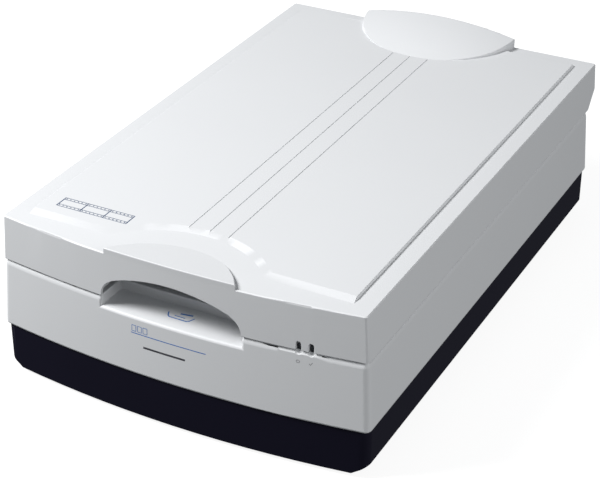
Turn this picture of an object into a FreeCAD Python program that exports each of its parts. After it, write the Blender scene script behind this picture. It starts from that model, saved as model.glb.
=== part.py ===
import FreeCAD, Part
import math
import os
import types
import Sketcher

# Flatbed scanner with a film adapter in its lid.  Millimetres, +Z up, +Y to the rear and +X to the
# right of someone facing the front.  The origin is on the desk, under the middle of the case.

SIZES = (
    # the case, from the desk up
    ("foot_height", 4.0, "rubber feet below the tub"),
    ("tub_height", 47.0, "dark lower tub"),
    ("shell_height", 70.5, "light upper shell, up to its deck"),
    ("seam_gap", 0.5, "shadow gap between deck and closed lid"),
    ("lid_height", 46.3, "lid wall, up to its front strip"),
    ("panel_rise", 2.8, "raised panel above the front strip"),
    # the case in plan
    ("case_length", 600.4, "whole length, from the front bulge to the lid's rear"),
    ("shell_width", 387.0, "light shell at its bottom edge"),
    ("shell_draft", 3.8, "how far each side leans in, from the shell's foot to the seam"),
    ("lid_draft", 2.9, "how far each side leans in, from the seam to the lid's top"),
    ("front_bow", 16.0, "bulge of the front beyond its corners"),
    ("front_lean", 3.5, "how far the front leans back, from the shell's foot to the seam"),
    ("front_lid_lean", 0.7, "how far it leans back from the seam to the lid's top"),
    ("rear_overhang", 20.4, "lid's rear beyond the shell's foot"),
    ("rear_lean", 2.0, "how far the rear leans in, from the shell's foot to the seam"),
    ("rear_slant_height", 20.0, "slanted part of the lid's rear"),
    ("tub_inset", 1.6, "step from the shell in to the tub"),
    ("tub_wall", 2.6, "tub wall"),
    ("tub_floor", 3.0, "tub floor"),
    ("tub_side_bevel", 15.0, "width of the bevel under each side"),
    ("tub_bevel_height", 10.0, "height of that bevel"),
    ("tub_corner", 10.0, "upright corner radius of the tub"),
    ("shell_corner", 7.0, "upright corner radius of the shell"),
    ("shell_edge", 3.0, "height of the bevel round the deck"),
    ("shell_bevel", 2.2, "width of the bevel round the deck"),
    ("lid_corner", 3.0, "upright corner radius of the lid"),
    ("lid_edge", 0.9, "small bevel round the lid's top"),
    ("shell_wall", 3.0, "wall of shell and lid"),
    ("deck_thickness", 6.0, "deck of the upper shell"),
    # the lid's top
    ("panel_margin", 20.0, "flat strip at each side of the raised panel"),
    ("panel_setback", 22.3, "raised panel behind the lid's front corners"),
    ("panel_rear_margin", 19.2, "strip behind the raised panel"),
    ("panel_slope", 8.5, "sloped band along the panel's front"),
    ("panel_step", 0.6, "sloped band along the panel's sides"),
    ("scoop_half", 83.8, "half the width of the curved cut-out"),
    ("scoop_depth", 38.7, "depth of the curved cut-out"),
    ("platform_half", 67.0, "half the width of the lens on the strip"),
    ("platform_rise", 5.5, "height of that lens at its front"),
    ("platform_depth", 44.0, "depth of that lens behind the front corners"),
    ("stripe_pitch", 20.7, "spacing of the three grooves"),
    ("stripe_width", 0.9, "width of a groove"),
    ("stripe_depth", 0.8, "depth of a groove"),
    ("dome_radius", 90.9, "outline radius of the rear hump"),
    ("dome_reach", 84.0, "rear hump, from its front to the lid's rear"),
    ("dome_rise", 17.0, "height of the hump at the rear"),
    ("dome_ball", 415.0, "radius of the hump's top"),
    ("dome_crown", 42.0, "how far behind the lid the hump's crown would be"),
    # the finger recess and the lights
    ("grip_half", 73.0, "half the width of the arch in the lid"),
    ("grip_height", 30.4, "height of the arch"),
    ("grip_corner", 20.0, "end radius of the arch"),
    ("grip_depth", 36.0, "depth of the recess behind the front corners"),
    ("sill_drop", 10.5, "how far the sill lies below the deck"),
    ("sill_floor", 2.5, "floor under the recess"),
    ("liner_wall", 2.0, "wall of the lid's finger pocket"),
    ("light_first", 126.5, "first indicator from the middle"),
    ("light_pitch", 11.8, "spacing of the two indicators"),
    ("light_width", 5.0, "width of an indicator's slot"),
    ("light_height", 9.5, "height of an indicator's slot"),
    ("light_pipe_rise", 5.5, "light pipe above the deck"),
    ("light_scoop", 4.0, "radius of the dimple under an indicator"),
    # platen
    ("glass_margin", 27.0, "case outside the platen glass, at each side"),
    ("glass_setback", 36.7, "platen glass behind the front corners"),
    ("glass_rear_margin", 55.8, "deck behind the platen glass"),
    ("glass_thickness", 3.0, "platen glass"),
    ("glass_sink", 0.5, "glass below the deck"),
    ("glass_ledge", 10.5, "ledge that carries the glass at its sides"),
    ("scan_margin", 32.0, "glass that the scan line doesn't cross, front and rear together"),
    ("strip_length", 14.0, "calibration strip, front to rear"),
    ("strip_thickness", 0.6, "calibration strip"),
    # clearances
    ("running_fit", 0.05, "radial clearance of a shaft in its hole"),
    ("sliding_fit", 0.15, "clearance beside a piece that slides"),
    ("drop_in", 0.5, "clearance round a piece that drops in"),
    ("belt_gap", 0.1, "clearance between a belt and its pulley"),
    # feet and screws
    ("foot_radius", 12.0, "rubber foot"),
    ("foot_seat", 1.5, "depth of a foot's seat"),
    ("foot_side_margin", 43.5, "foot's middle inside the shell's side"),
    ("foot_end_margin", 55.2, "foot's middle inside the case's ends"),
    ("screw_side_margin", 25.5, "case screws inside the shell's sides"),
    ("screw_end_margin", 60.2, "case screws inside the case's ends"),
    ("screw_radius", 1.7, "screw shank"),
    ("screw_head", 3.8, "screw head radius"),
    ("screw_head_depth", 2.4, "screw head"),
    ("screw_length", 20.0, "screw shank"),
    ("boss_radius", 4.5, "screw boss"),
    # scan head and its guides
    ("head_margin", 6.5, "glass beyond the scan head, at each side"),
    ("head_home", 10.0, "front of the scan head ahead of the glass, at home"),
    ("head_depth", 74.0, "scan head, front to rear"),
    ("head_lift", 7.0, "underside of the scan head above the tub"),
    ("head_clearance", 2.5, "gap between the scan head and the deck"),
    ("head_wall", 3.0, "wall of the scan head"),
    ("scan_line", 30.0, "scan line behind the head's front"),
    ("rod_inset", 20.0, "guide rod inside the scan head's left end"),
    ("rod_rise", 12.0, "guide rod's axis above the scan head's underside"),
    ("rod_radius", 5.0, "guide rod"),
    ("rod_margin", 32.2, "end of the guide rod inside the case's ends"),
    ("bush_wall", 2.5, "wall of a rod bush"),
    ("bush_length", 12.0, "rod bush"),
    ("rail_inset", 16.0, "support rail inside the scan head's right end"),
    ("rail_width", 12.0, "flange of the support rail"),
    ("rail_drop", 3.0, "top of the support rail below the scan head"),
    ("rail_sheet", 2.0, "sheet of the support rail"),
    ("lamp_radius", 2.0, "lamp tube"),
    ("lamp_margin", 4.0, "scan head beyond the lamps, at each end"),
    ("lamp_offset", 9.0, "lamps either side of the scan line"),
    # drive
    ("belt_offset", 28.0, "pulley axes beside the guide rod"),
    ("belt_margin", 62.2, "pulley axes inside the case's ends"),
    ("belt_drop", 12.0, "lower edge of the drive belt below the scan head"),
    ("belt_width", 6.0, "drive belt"),
    ("belt_thickness", 1.2, "drive belt"),
    ("pulley_radius", 8.0, "belt pulleys"),
    ("pulley_flange", 1.8, "flange beyond a pulley's rim"),
    ("stud_radius", 2.5, "pulley studs"),
    ("gear_module", 0.8, "pitch diameter over teeth"),
    ("gear_teeth", 48, "teeth of the belt gear"),
    ("pinion_teeth", 12, "teeth of the motor pinion"),
    ("gear_clearance", 0.15, "extra distance between the gear axes"),
    ("gear_width", 4.0, "gear face"),
    ("motor_radius", 17.5, "stepping motor can"),
    ("motor_height", 25.0, "stepping motor can"),
    ("motor_shaft", 1.5, "stepping motor shaft"),
    # boards and sockets
    ("board_thickness", 1.6, "circuit boards"),
    ("board_gap", 4.35, "main board beside the motor bracket"),
    ("board_lift", 5.0, "posts under the main board"),
    ("board_post", 3.5, "radius of a post under the main board"),
    ("plate_thickness", 1.5, "rear connector plate"),
    # hinges
    ("hinge_inset", 21.7, "hinges inside the case's sides at the seam"),
    ("hinge_setback", 19.2, "hinge axis ahead of the lid's rear"),
    ("hinge_rise", 12.0, "hinge axis above the lid's lower edge"),
    ("hinge_pin", 3.0, "hinge pin"),
    ("knuckle_radius", 6.0, "hinge knuckle"),
    ("post_width", 14.0, "hinge post, sideways"),
    ("post_depth", 8.0, "hinge post, front to rear"),
    ("post_setback", 14.8, "front of a hinge post ahead of the shell's rear"),
    ("post_foot", 11.0, "lower end of a hinge post above the tub"),
    ("cheek_width", 3.0, "cheek of a hinge leaf"),
    ("socket_wall", 2.2, "wall of a hinge socket"),
    ("notch_half", 12.0, "half the notch in the lid round a hinge"),
    ("lift_travel", 30.0, "how far the lid lifts for thick originals"),
    # film adapter in the lid
    ("tray_rise", 5.0, "underside of the lid's inner tray above the lid's lower edge"),
    ("tray_thickness", 3.0, "inner tray"),
    ("window_setback", 14.0, "adapter window behind the front of the glass"),
    ("window_rear_margin", 8.0, "adapter window ahead of the rear of the glass"),
    ("window_lap", 4.0, "window pane beyond its opening"),
    ("window_thickness", 2.0, "diffuser pane"),
    ("film_rod_inset", 36.8, "adapter rod inside the lid's left side"),
    ("film_rod_rise", 11.0, "adapter rod's axis above the tray"),
    ("film_rod_radius", 3.0, "adapter rod"),
    ("film_head_home", 14.0, "front of the adapter head behind the scan head, at home"),
    ("film_head_depth", 40.0, "adapter head, front to rear"),
    ("film_head_gap", 3.0, "underside of the adapter head above the tray"),
    ("film_head_height", 12.5, "adapter head"),
    ("film_belt_across", 50.0, "adapter pulleys from the middle"),
    ("film_idler_margin", 54.2, "adapter idler inside the case's front end"),
    ("film_pulley_margin", 38.2, "adapter pulley inside the case's rear end"),
    ("film_belt_gap", 2.5, "adapter belt above the adapter head"),
    ("film_motor_height", 12.0, "adapter motor can"),
)

doc = FreeCAD.newDocument("FlatbedScanner")
sheet = doc.addObject("Spreadsheet::Sheet", "Sizes")


class Length:
    """A size as a formula on the sheet, with the number that it comes to now."""

    def __init__(self, formula, number):
        self.formula = formula
        self.number = float(number)

    def __add__(self, other):
        other = as_length(other)
        return Length("(%s + %s)" % (self.formula, other.formula), self.number + other.number)

    def __sub__(self, other):
        other = as_length(other)
        return Length("(%s - %s)" % (self.formula, other.formula), self.number - other.number)

    def __mul__(self, other):
        other = as_length(other)
        return Length("(%s * %s)" % (self.formula, other.formula), self.number * other.number)

    def __truediv__(self, other):
        other = as_length(other)
        return Length("(%s / %s)" % (self.formula, other.formula), self.number / other.number)

    def __radd__(self, other):
        return as_length(other) + self

    def __rsub__(self, other):
        return as_length(other) - self

    def __rmul__(self, other):
        return as_length(other) * self

    def __rtruediv__(self, other):
        return as_length(other) / self

    def __neg__(self):
        return as_length(0) - self


def as_length(value):
    """A plain number becomes a Length with that number as its formula."""
    if isinstance(value, Length):
        return value
    return Length("%.9g" % value, value)


def square_root(length):
    return Length("sqrt(%s)" % length.formula, math.sqrt(length.number))


def fill_sheet():
    """Writes every driving size to the sheet and returns them as Lengths, by name."""
    lengths = {}
    for row, (alias, number, meaning) in enumerate(SIZES, 1):
        sheet.set("A%d" % row, alias)
        sheet.set("B%d" % row, str(number))
        sheet.set("C%d" % row, meaning)
        sheet.setAlias("B%d" % row, alias)
        lengths[alias] = Length("Sizes.%s" % alias, number)
    doc.recompute()
    return types.SimpleNamespace(**lengths)


S = fill_sheet()


# ---------------------------------------------------------------- lines and levels worked out from the sizes

HALF_LENGTH = S.case_length / 2
S.seam_width = S.shell_width - 2 * S.shell_draft
S.lid_width = S.seam_width - 2 * S.lid_draft
S.front_foot_line = S.front_bow - HALF_LENGTH
S.front_seam_line = S.front_foot_line + S.front_lean
S.front_lid_line = S.front_seam_line + S.front_lid_lean
S.rear_lid_line = HALF_LENGTH
S.rear_foot_line = S.rear_lid_line - S.rear_overhang
S.rear_seam_line = S.rear_foot_line - S.rear_lean

TUB_TOP = S.foot_height + S.tub_height
DECK = TUB_TOP + S.shell_height
DECK_UNDER = DECK - S.deck_thickness
LID_BOTTOM = DECK + S.seam_gap
STRIP = LID_BOTTOM + S.lid_height
PANEL = STRIP + S.panel_rise
LID_CEILING = STRIP - S.shell_wall
FLOOR = S.foot_height + S.tub_floor
SILL = DECK - S.sill_drop
SILL_UNDER = SILL - S.sill_floor
GLASS_TOP = DECK - S.glass_sink
GLASS_BOTTOM = GLASS_TOP - S.glass_thickness

S.panel_half = S.lid_width / 2 - S.panel_margin
S.panel_front = S.front_lid_line + S.panel_setback
S.panel_rear = S.rear_lid_line - S.panel_rear_margin
S.dome_front = S.rear_lid_line - S.dome_reach
S.glass_half = S.shell_width / 2 - S.glass_margin
S.glass_front = S.front_seam_line + S.glass_setback
S.glass_rear = S.rear_seam_line - S.glass_rear_margin
S.scan_length = S.glass_rear - S.glass_front - S.scan_margin

S.head_half = S.glass_half - S.head_margin
S.head_front = S.glass_front - S.head_home
S.head_bottom = TUB_TOP + S.head_lift
S.head_top = DECK_UNDER - S.head_clearance
S.rod_across = S.rod_inset - S.head_half
S.rod_height = S.head_bottom + S.rod_rise
S.rod_half = HALF_LENGTH - S.rod_margin
S.rail_left = S.head_half - S.rail_inset
S.rail_height = S.head_bottom - S.rail_drop
S.lamp_half = S.head_half - S.lamp_margin
S.belt_across = S.rod_across + S.belt_offset
S.belt_half = HALF_LENGTH - S.belt_margin
PINION_ACROSS = S.belt_across + S.gear_module * (S.gear_teeth + S.pinion_teeth) / 2 + S.gear_clearance
BRACKET_RIGHT = PINION_ACROSS + S.motor_radius + 4
S.belt_bottom = S.head_bottom - S.belt_drop

S.hinge_across = S.seam_width / 2 - S.hinge_inset
S.hinge_line = S.rear_lid_line - S.hinge_setback
S.hinge_height = LID_BOTTOM + S.hinge_rise
S.post_front = S.rear_seam_line - S.post_setback
S.post_bottom = TUB_TOP + S.post_foot

S.tray_bottom = LID_BOTTOM + S.tray_rise
TRAY_TOP = S.tray_bottom + S.tray_thickness
S.mat_thickness = S.tray_bottom - GLASS_TOP - 2 * S.sliding_fit
S.window_half = S.glass_half - S.glass_ledge
S.window_front = S.glass_front + S.window_setback
S.window_rear = S.glass_rear - S.window_rear_margin
S.film_rod_across = S.film_rod_inset - S.lid_width / 2
S.film_rod_height = TRAY_TOP + S.film_rod_rise
S.film_head_front = S.head_front + S.film_head_home
S.film_head_bottom = TRAY_TOP + S.film_head_gap
S.film_head_top = S.film_head_bottom + S.film_head_height
S.film_belt_front = S.film_idler_margin - HALF_LENGTH
S.film_belt_rear = HALF_LENGTH - S.film_pulley_margin
S.film_belt_bottom = S.film_head_top + S.film_belt_gap

GRIP_REAR = S.front_seam_line + S.grip_depth - S.front_bow
SCREW_ACROSS = S.shell_width / 2 - S.screw_side_margin
SCREW_ALONG = HALF_LENGTH - S.screw_end_margin
SCREW_SPOTS = [(side * SCREW_ACROSS, along * SCREW_ALONG) for side in (-1, 1) for along in (-1, 0, 1)]
FOOT_ACROSS = S.shell_width / 2 - S.foot_side_margin
FOOT_ALONG = HALF_LENGTH - S.foot_end_margin
FOOT_SPOTS = [(side * FOOT_ACROSS, along * FOOT_ALONG) for side in (-1, 1) for along in (-1, 1)]
LIGHT_SPOTS = (S.light_first, S.light_first + S.light_pitch)


# ---------------------------------------------------------------- how pieces are drawn

def bind(thing, name, length):
    thing.setExpression(name, as_length(length).formula)


def place(thing, x, y, z):
    for axis, length in zip("xyz", (x, y, z)):
        bind(thing, "Placement.Base.%s" % axis, length)
    return thing


def block(name, x, y, z):
    """A box between two lengths on each axis."""
    box = doc.addObject("Part::Box", name)
    for side, (low, high) in zip(("Length", "Width", "Height"), (x, y, z)):
        bind(box, side, as_length(high) - low)
    return place(box, x[0], y[0], z[0])


AXIS_TURNS = {
    "X": FreeCAD.Rotation(FreeCAD.Vector(0, 1, 0), 90),
    "Y": FreeCAD.Rotation(FreeCAD.Vector(1, 0, 0), -90),
    "Z": FreeCAD.Rotation(),
}


def cylinder(name, axis, centre, span, radius):
    """A cylinder along an axis, with its centre on the other two axes and its span along its own."""
    rod = doc.addObject("Part::Cylinder", name)
    bind(rod, "Radius", radius)
    bind(rod, "Height", as_length(span[1]) - span[0])
    rod.Placement = FreeCAD.Placement(FreeCAD.Vector(), AXIS_TURNS[axis])
    base = list(centre)
    base.insert("XYZ".index(axis), span[0])
    return place(rod, *base)


def fuse(name, *pieces):
    joined = doc.addObject("Part::MultiFuse", name)
    joined.Shapes = list(pieces)
    joined.Refine = True
    return joined


def cut(name, base, *tools):
    result = doc.addObject("Part::Cut", name)
    result.Base = base
    result.Tool = tools[0] if len(tools) == 1 else fuse(name + "_tools", *tools)
    return result


def common(name, first, second):
    result = doc.addObject("Part::Common", name)
    result.Base = first
    result.Tool = second
    return result


def group(name, *pieces):
    """Separate solids that share one node."""
    gathered = doc.addObject("Part::Compound", name)
    gathered.Links = list(pieces)
    return gathered


def mirrored(name, source):
    """The same piece on the other side of the middle plane."""
    copy = doc.addObject("Part::Mirroring", name)
    copy.Source = source
    copy.Normal = FreeCAD.Vector(1, 0, 0)
    return copy


def ring(name, axis, centre, span, outer, inner):
    solid = cylinder(name + "_outside", axis, centre, span, outer)
    bore = cylinder(name + "_bore", axis, centre, span, inner)
    return cut(name, solid, bore)


# ---------------------------------------------------------------- how bodies are drawn

def new_body(name):
    return doc.addObject("PartDesign::Body", name)


def sketch_on(body, name, role, offset):
    """A sketch parallel to one of the body's own origin planes, moved along that plane's normal."""
    sketch = body.newObject("Sketcher::SketchObject", name)
    flat = [feature for feature in body.Origin.OriginFeatures if feature.Role == role][0]
    sketch.AttachmentSupport = (flat, [""])
    sketch.MapMode = "FlatFace"
    bind(sketch, "AttachmentOffset.Base.z", offset)
    return sketch


def hold(sketch, kind, *arguments):
    """Adds a constraint whose last argument is a Length, bound to the sheet."""
    length = as_length(arguments[-1])
    index = sketch.addConstraint(Sketcher.Constraint(kind, *arguments[:-1], length.number))
    sketch.setExpression("Constraints[%d]" % index, length.formula)


def outline(sketch, corners, centres=None):
    """A closed line through corners.  centres gives, for a corner's index, the centre of the arc
    that runs anticlockwise from that corner to the next."""
    centres = centres or {}
    first = sketch.GeometryCount
    points = [(as_length(x), as_length(y)) for x, y in corners]
    for index, start in enumerate(points):
        end = points[(index + 1) % len(points)]
        begin_point = FreeCAD.Vector(start[0].number, start[1].number, 0)
        end_point = FreeCAD.Vector(end[0].number, end[1].number, 0)
        if index in centres:
            middle = FreeCAD.Vector(*[as_length(part).number for part in centres[index]], 0)
            out, back = begin_point - middle, end_point - middle
            begin_angle = math.atan2(out.y, out.x)
            end_angle = math.atan2(back.y, back.x)
            circle = Part.Circle(middle, FreeCAD.Vector(0, 0, 1), out.Length)
            if end_angle < begin_angle:
                end_angle += 2 * math.pi
            sketch.addGeometry(Part.ArcOfCircle(circle, begin_angle, end_angle), False)
        else:
            sketch.addGeometry(Part.LineSegment(begin_point, end_point), False)
    for index, (x, y) in enumerate(points):
        edge = first + index
        following = first + (index + 1) % len(points)
        sketch.addConstraint(Sketcher.Constraint("Coincident", edge, 2, following, 1))
        hold(sketch, "DistanceX", -1, 1, edge, 1, x)
        hold(sketch, "DistanceY", -1, 1, edge, 1, y)
        if index in centres:
            hold(sketch, "DistanceY", -1, 1, edge, 3, centres[index][1])


def rectangle(sketch, x, y):
    outline(sketch, ((x[0], y[0]), (x[1], y[0]), (x[1], y[1]), (x[0], y[1])))


def round_hole(sketch, x, y, radius):
    x, y, radius = as_length(x), as_length(y), as_length(radius)
    middle = FreeCAD.Vector(x.number, y.number, 0)
    edge = sketch.addGeometry(Part.Circle(middle, FreeCAD.Vector(0, 0, 1), radius.number), False)
    hold(sketch, "DistanceX", -1, 1, edge, 3, x)
    hold(sketch, "DistanceY", -1, 1, edge, 3, y)
    hold(sketch, "Radius", edge, radius)


def bowed(sketch, half, front, rear, bow, corner=None):
    """Three straight sides and a front that bulges forwards by bow in one arc, whose ends would meet
    the sides on the front line.  With a corner radius, an arc tangent to both rounds each corner."""
    radius = (half * half + bow * bow) / (bow * 2)
    middle = front - bow + radius
    if corner is None:
        corners = ((-half, front), (half, front), (half, rear), (-half, rear))
        outline(sketch, corners, {0: (0, middle)})
        return
    inner, inset = radius - corner, half - corner
    drop = square_root(inner * inner - inset * inset)
    stretch = radius / inner
    touch = (inset * stretch, middle - drop * stretch)
    round_line = middle - drop
    corners = ((-touch[0], touch[1]), touch, (half, round_line), (half, rear - corner), (inset, rear),
               (-inset, rear), (-half, rear - corner), (-half, round_line))
    outline(sketch, corners, {0: (0, middle), 1: (inset, round_line), 3: (inset, rear - corner),
                              5: (-inset, rear - corner), 7: (-inset, round_line)})


def pad(body, name, sketch, length, upwards=True):
    feature = body.newObject("PartDesign::Pad", name)
    feature.Profile = sketch
    bind(feature, "Length", length)
    feature.Reversed = not upwards
    return feature


def pocket(body, name, sketch, length, upwards=False):
    """Removes material and stops the build when nothing was in its way."""
    doc.recompute()
    before = body.Shape.Volume
    feature = body.newObject("PartDesign::Pocket", name)
    feature.Profile = sketch
    bind(feature, "Length", length)
    feature.Reversed = upwards
    doc.recompute()
    if body.Shape.Volume > before - 1e-3:
        raise RuntimeError("%s removes nothing" % name)
    return feature


def loft(body, name, *sketches):
    """Straight walls from each outline to the one above it."""
    feature = body.newObject("PartDesign::AdditiveLoft", name)
    feature.Profile = sketches[0]
    feature.Sections = list(sketches[1:])
    feature.Ruled = True
    return feature


# ---------------------------------------------------------------- places shared by pieces

def front_at(x, corner_line, half):
    """Y of the bowed front at x, from the parabola that lies within 0.1 mm of its arc."""
    return corner_line - S.front_bow * (1 - (x * x) / (half * half))


def pipe_front(x):
    """Front face of the light pipe at x, behind the lid's front wall."""
    return front_at(x, S.front_seam_line, S.seam_width / 2) + S.shell_wall + 2 * S.drop_in


POST_HEIGHT = as_length(5)
LOCK_SPOT = (60, S.head_front + 54)
REAR_FACE = S.rear_foot_line - S.tub_inset
PLATE_REAR = REAR_FACE - S.tub_wall
SOCKETS_REAR = PLATE_REAR + 1.6
BOARD_BOTTOM = FLOOR + S.board_lift
BOARD_TOP = BOARD_BOTTOM + S.board_thickness
BOARD_ACROSS = (BRACKET_RIGHT + S.board_gap, as_length(90))
BOARD_ALONG = (PLATE_REAR - 125.6, PLATE_REAR - 5.6)
BOARD_INSET = 8
BOARD_POSTS = [(x, y) for x in (BOARD_ACROSS[0] + BOARD_INSET, BOARD_ACROSS[1] - BOARD_INSET)
               for y in (BOARD_ALONG[0] + BOARD_INSET, BOARD_ALONG[1] - 4 * BOARD_INSET)]
ROD_PAD_HALF, ROD_PAD_DEPTH = 12, 10
LOCK_RADIUS = as_length(10)
PLATE_WINDOW = (-46, 162)
PLATE_WINDOW_HEIGHT = (S.foot_height + 8.5, TUB_TOP - 8)
VIEW_ALONG = (S.head_front + S.scan_line - S.strip_length, S.head_front + S.scan_line + S.scan_length + 4)
POST_SLOT_HALF = S.post_width / 2 + S.drop_in
PIPE_HALF = S.light_width / 2 - S.drop_in
LIGHT_BOARD = DECK_UNDER - 12
PIPE_DEPTH = as_length(5.4)
LIGHT_STUD_LINE = pipe_front(S.light_first + S.light_pitch) + 10


# ---------------------------------------------------------------- the case

def lower_housing():
    """Dark tub: bowed front, bevels under both sides, seats for feet and screws, rear window."""
    body = new_body("lower_housing")
    half = S.shell_width / 2 - S.tub_inset
    front = S.front_foot_line + S.tub_inset
    rear = S.rear_foot_line - S.tub_inset
    plan = sketch_on(body, "tub_plan", "XY_Plane", S.foot_height)
    bowed(plan, half, front, rear, S.front_bow, S.tub_corner)
    pad(body, "tub_block", plan, S.tub_height)

    beyond = 2
    slope = S.tub_bevel_height / S.tub_side_bevel
    bevels = sketch_on(body, "tub_bevel_section", "XZ_Plane", -(front - S.front_bow) + beyond)
    for side in (-1, 1):
        inner = side * (half - S.tub_side_bevel)
        outer = side * (half + beyond)
        outline(bevels, ((inner, S.foot_height), (outer, S.foot_height),
                         (outer, S.foot_height + S.tub_bevel_height + beyond * slope)))
    pocket(body, "tub_bevels", bevels, rear - front + S.front_bow + 2 * beyond)

    room = sketch_on(body, "tub_room_plan", "XY_Plane", TUB_TOP)
    bowed(room, half - S.tub_wall, front + S.tub_wall, rear - S.tub_wall, S.front_bow,
          S.tub_corner - S.tub_wall)
    pocket(body, "tub_room", room, S.tub_height - S.tub_bevel_height - S.tub_floor)
    well_half = half - S.tub_side_bevel - S.tub_wall
    well = sketch_on(body, "tub_well_plan", "XY_Plane", FLOOR + S.tub_bevel_height)
    bowed(well, well_half, front + S.tub_wall, rear - S.tub_wall, S.front_bow)
    pocket(body, "tub_well", well, S.tub_bevel_height)

    seats = sketch_on(body, "foot_seats_plan", "XY_Plane", S.foot_height)
    for x, y in FOOT_SPOTS:
        round_hole(seats, x, y, S.foot_radius + S.sliding_fit)
    pocket(body, "foot_seats", seats, S.foot_seat, upwards=True)

    stands = sketch_on(body, "board_posts_plan", "XY_Plane", FLOOR)
    for x, y in BOARD_POSTS:
        round_hole(stands, x, y, S.board_post)
    pad(body, "board_posts", stands, S.board_lift)
    pads = sketch_on(body, "rod_pads_plan", "XY_Plane", FLOOR)
    for side in (-1, 1):
        rectangle(pads, (S.rod_across - ROD_PAD_HALF, S.rod_across + ROD_PAD_HALF),
                  (side * S.rod_half, side * (S.rod_half - ROD_PAD_DEPTH)))
    pad(body, "rod_pads", pads, S.rod_height + S.rod_radius + S.tub_wall - FLOOR)
    rod_seats = sketch_on(body, "rod_seats_section", "XZ_Plane", -S.rod_half)
    round_hole(rod_seats, S.rod_across, S.rod_height, S.rod_radius)
    pocket(body, "rod_seats", rod_seats, 2 * S.rod_half, upwards=True)

    posts = sketch_on(body, "screw_posts_plan", "XY_Plane", FLOOR)
    heads = sketch_on(body, "screw_heads_plan", "XY_Plane", S.foot_height)
    shanks = sketch_on(body, "screw_shanks_plan", "XY_Plane", S.foot_height)
    for x, y in SCREW_SPOTS:
        round_hole(posts, x, y, S.boss_radius + S.shell_wall / 2)
        round_hole(heads, x, y, S.screw_head + S.drop_in)
        round_hole(shanks, x, y, S.screw_radius + S.drop_in)
    pad(body, "screw_posts", posts, POST_HEIGHT)
    pocket(body, "screw_head_seats", heads, S.tub_floor, upwards=True)
    pocket(body, "screw_shank_holes", shanks, S.tub_floor + POST_HEIGHT, upwards=True)

    knob = sketch_on(body, "lock_hole_plan", "XY_Plane", S.foot_height)
    round_hole(knob, LOCK_SPOT[0], LOCK_SPOT[1], LOCK_RADIUS + S.drop_in)
    pocket(body, "lock_hole", knob, S.tub_floor, upwards=True)

    window = sketch_on(body, "connector_window_plan", "XZ_Plane", -rear)
    rectangle(window, PLATE_WINDOW, PLATE_WINDOW_HEIGHT)
    pocket(body, "connector_window", window, S.tub_wall, upwards=True)
    return body


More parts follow.
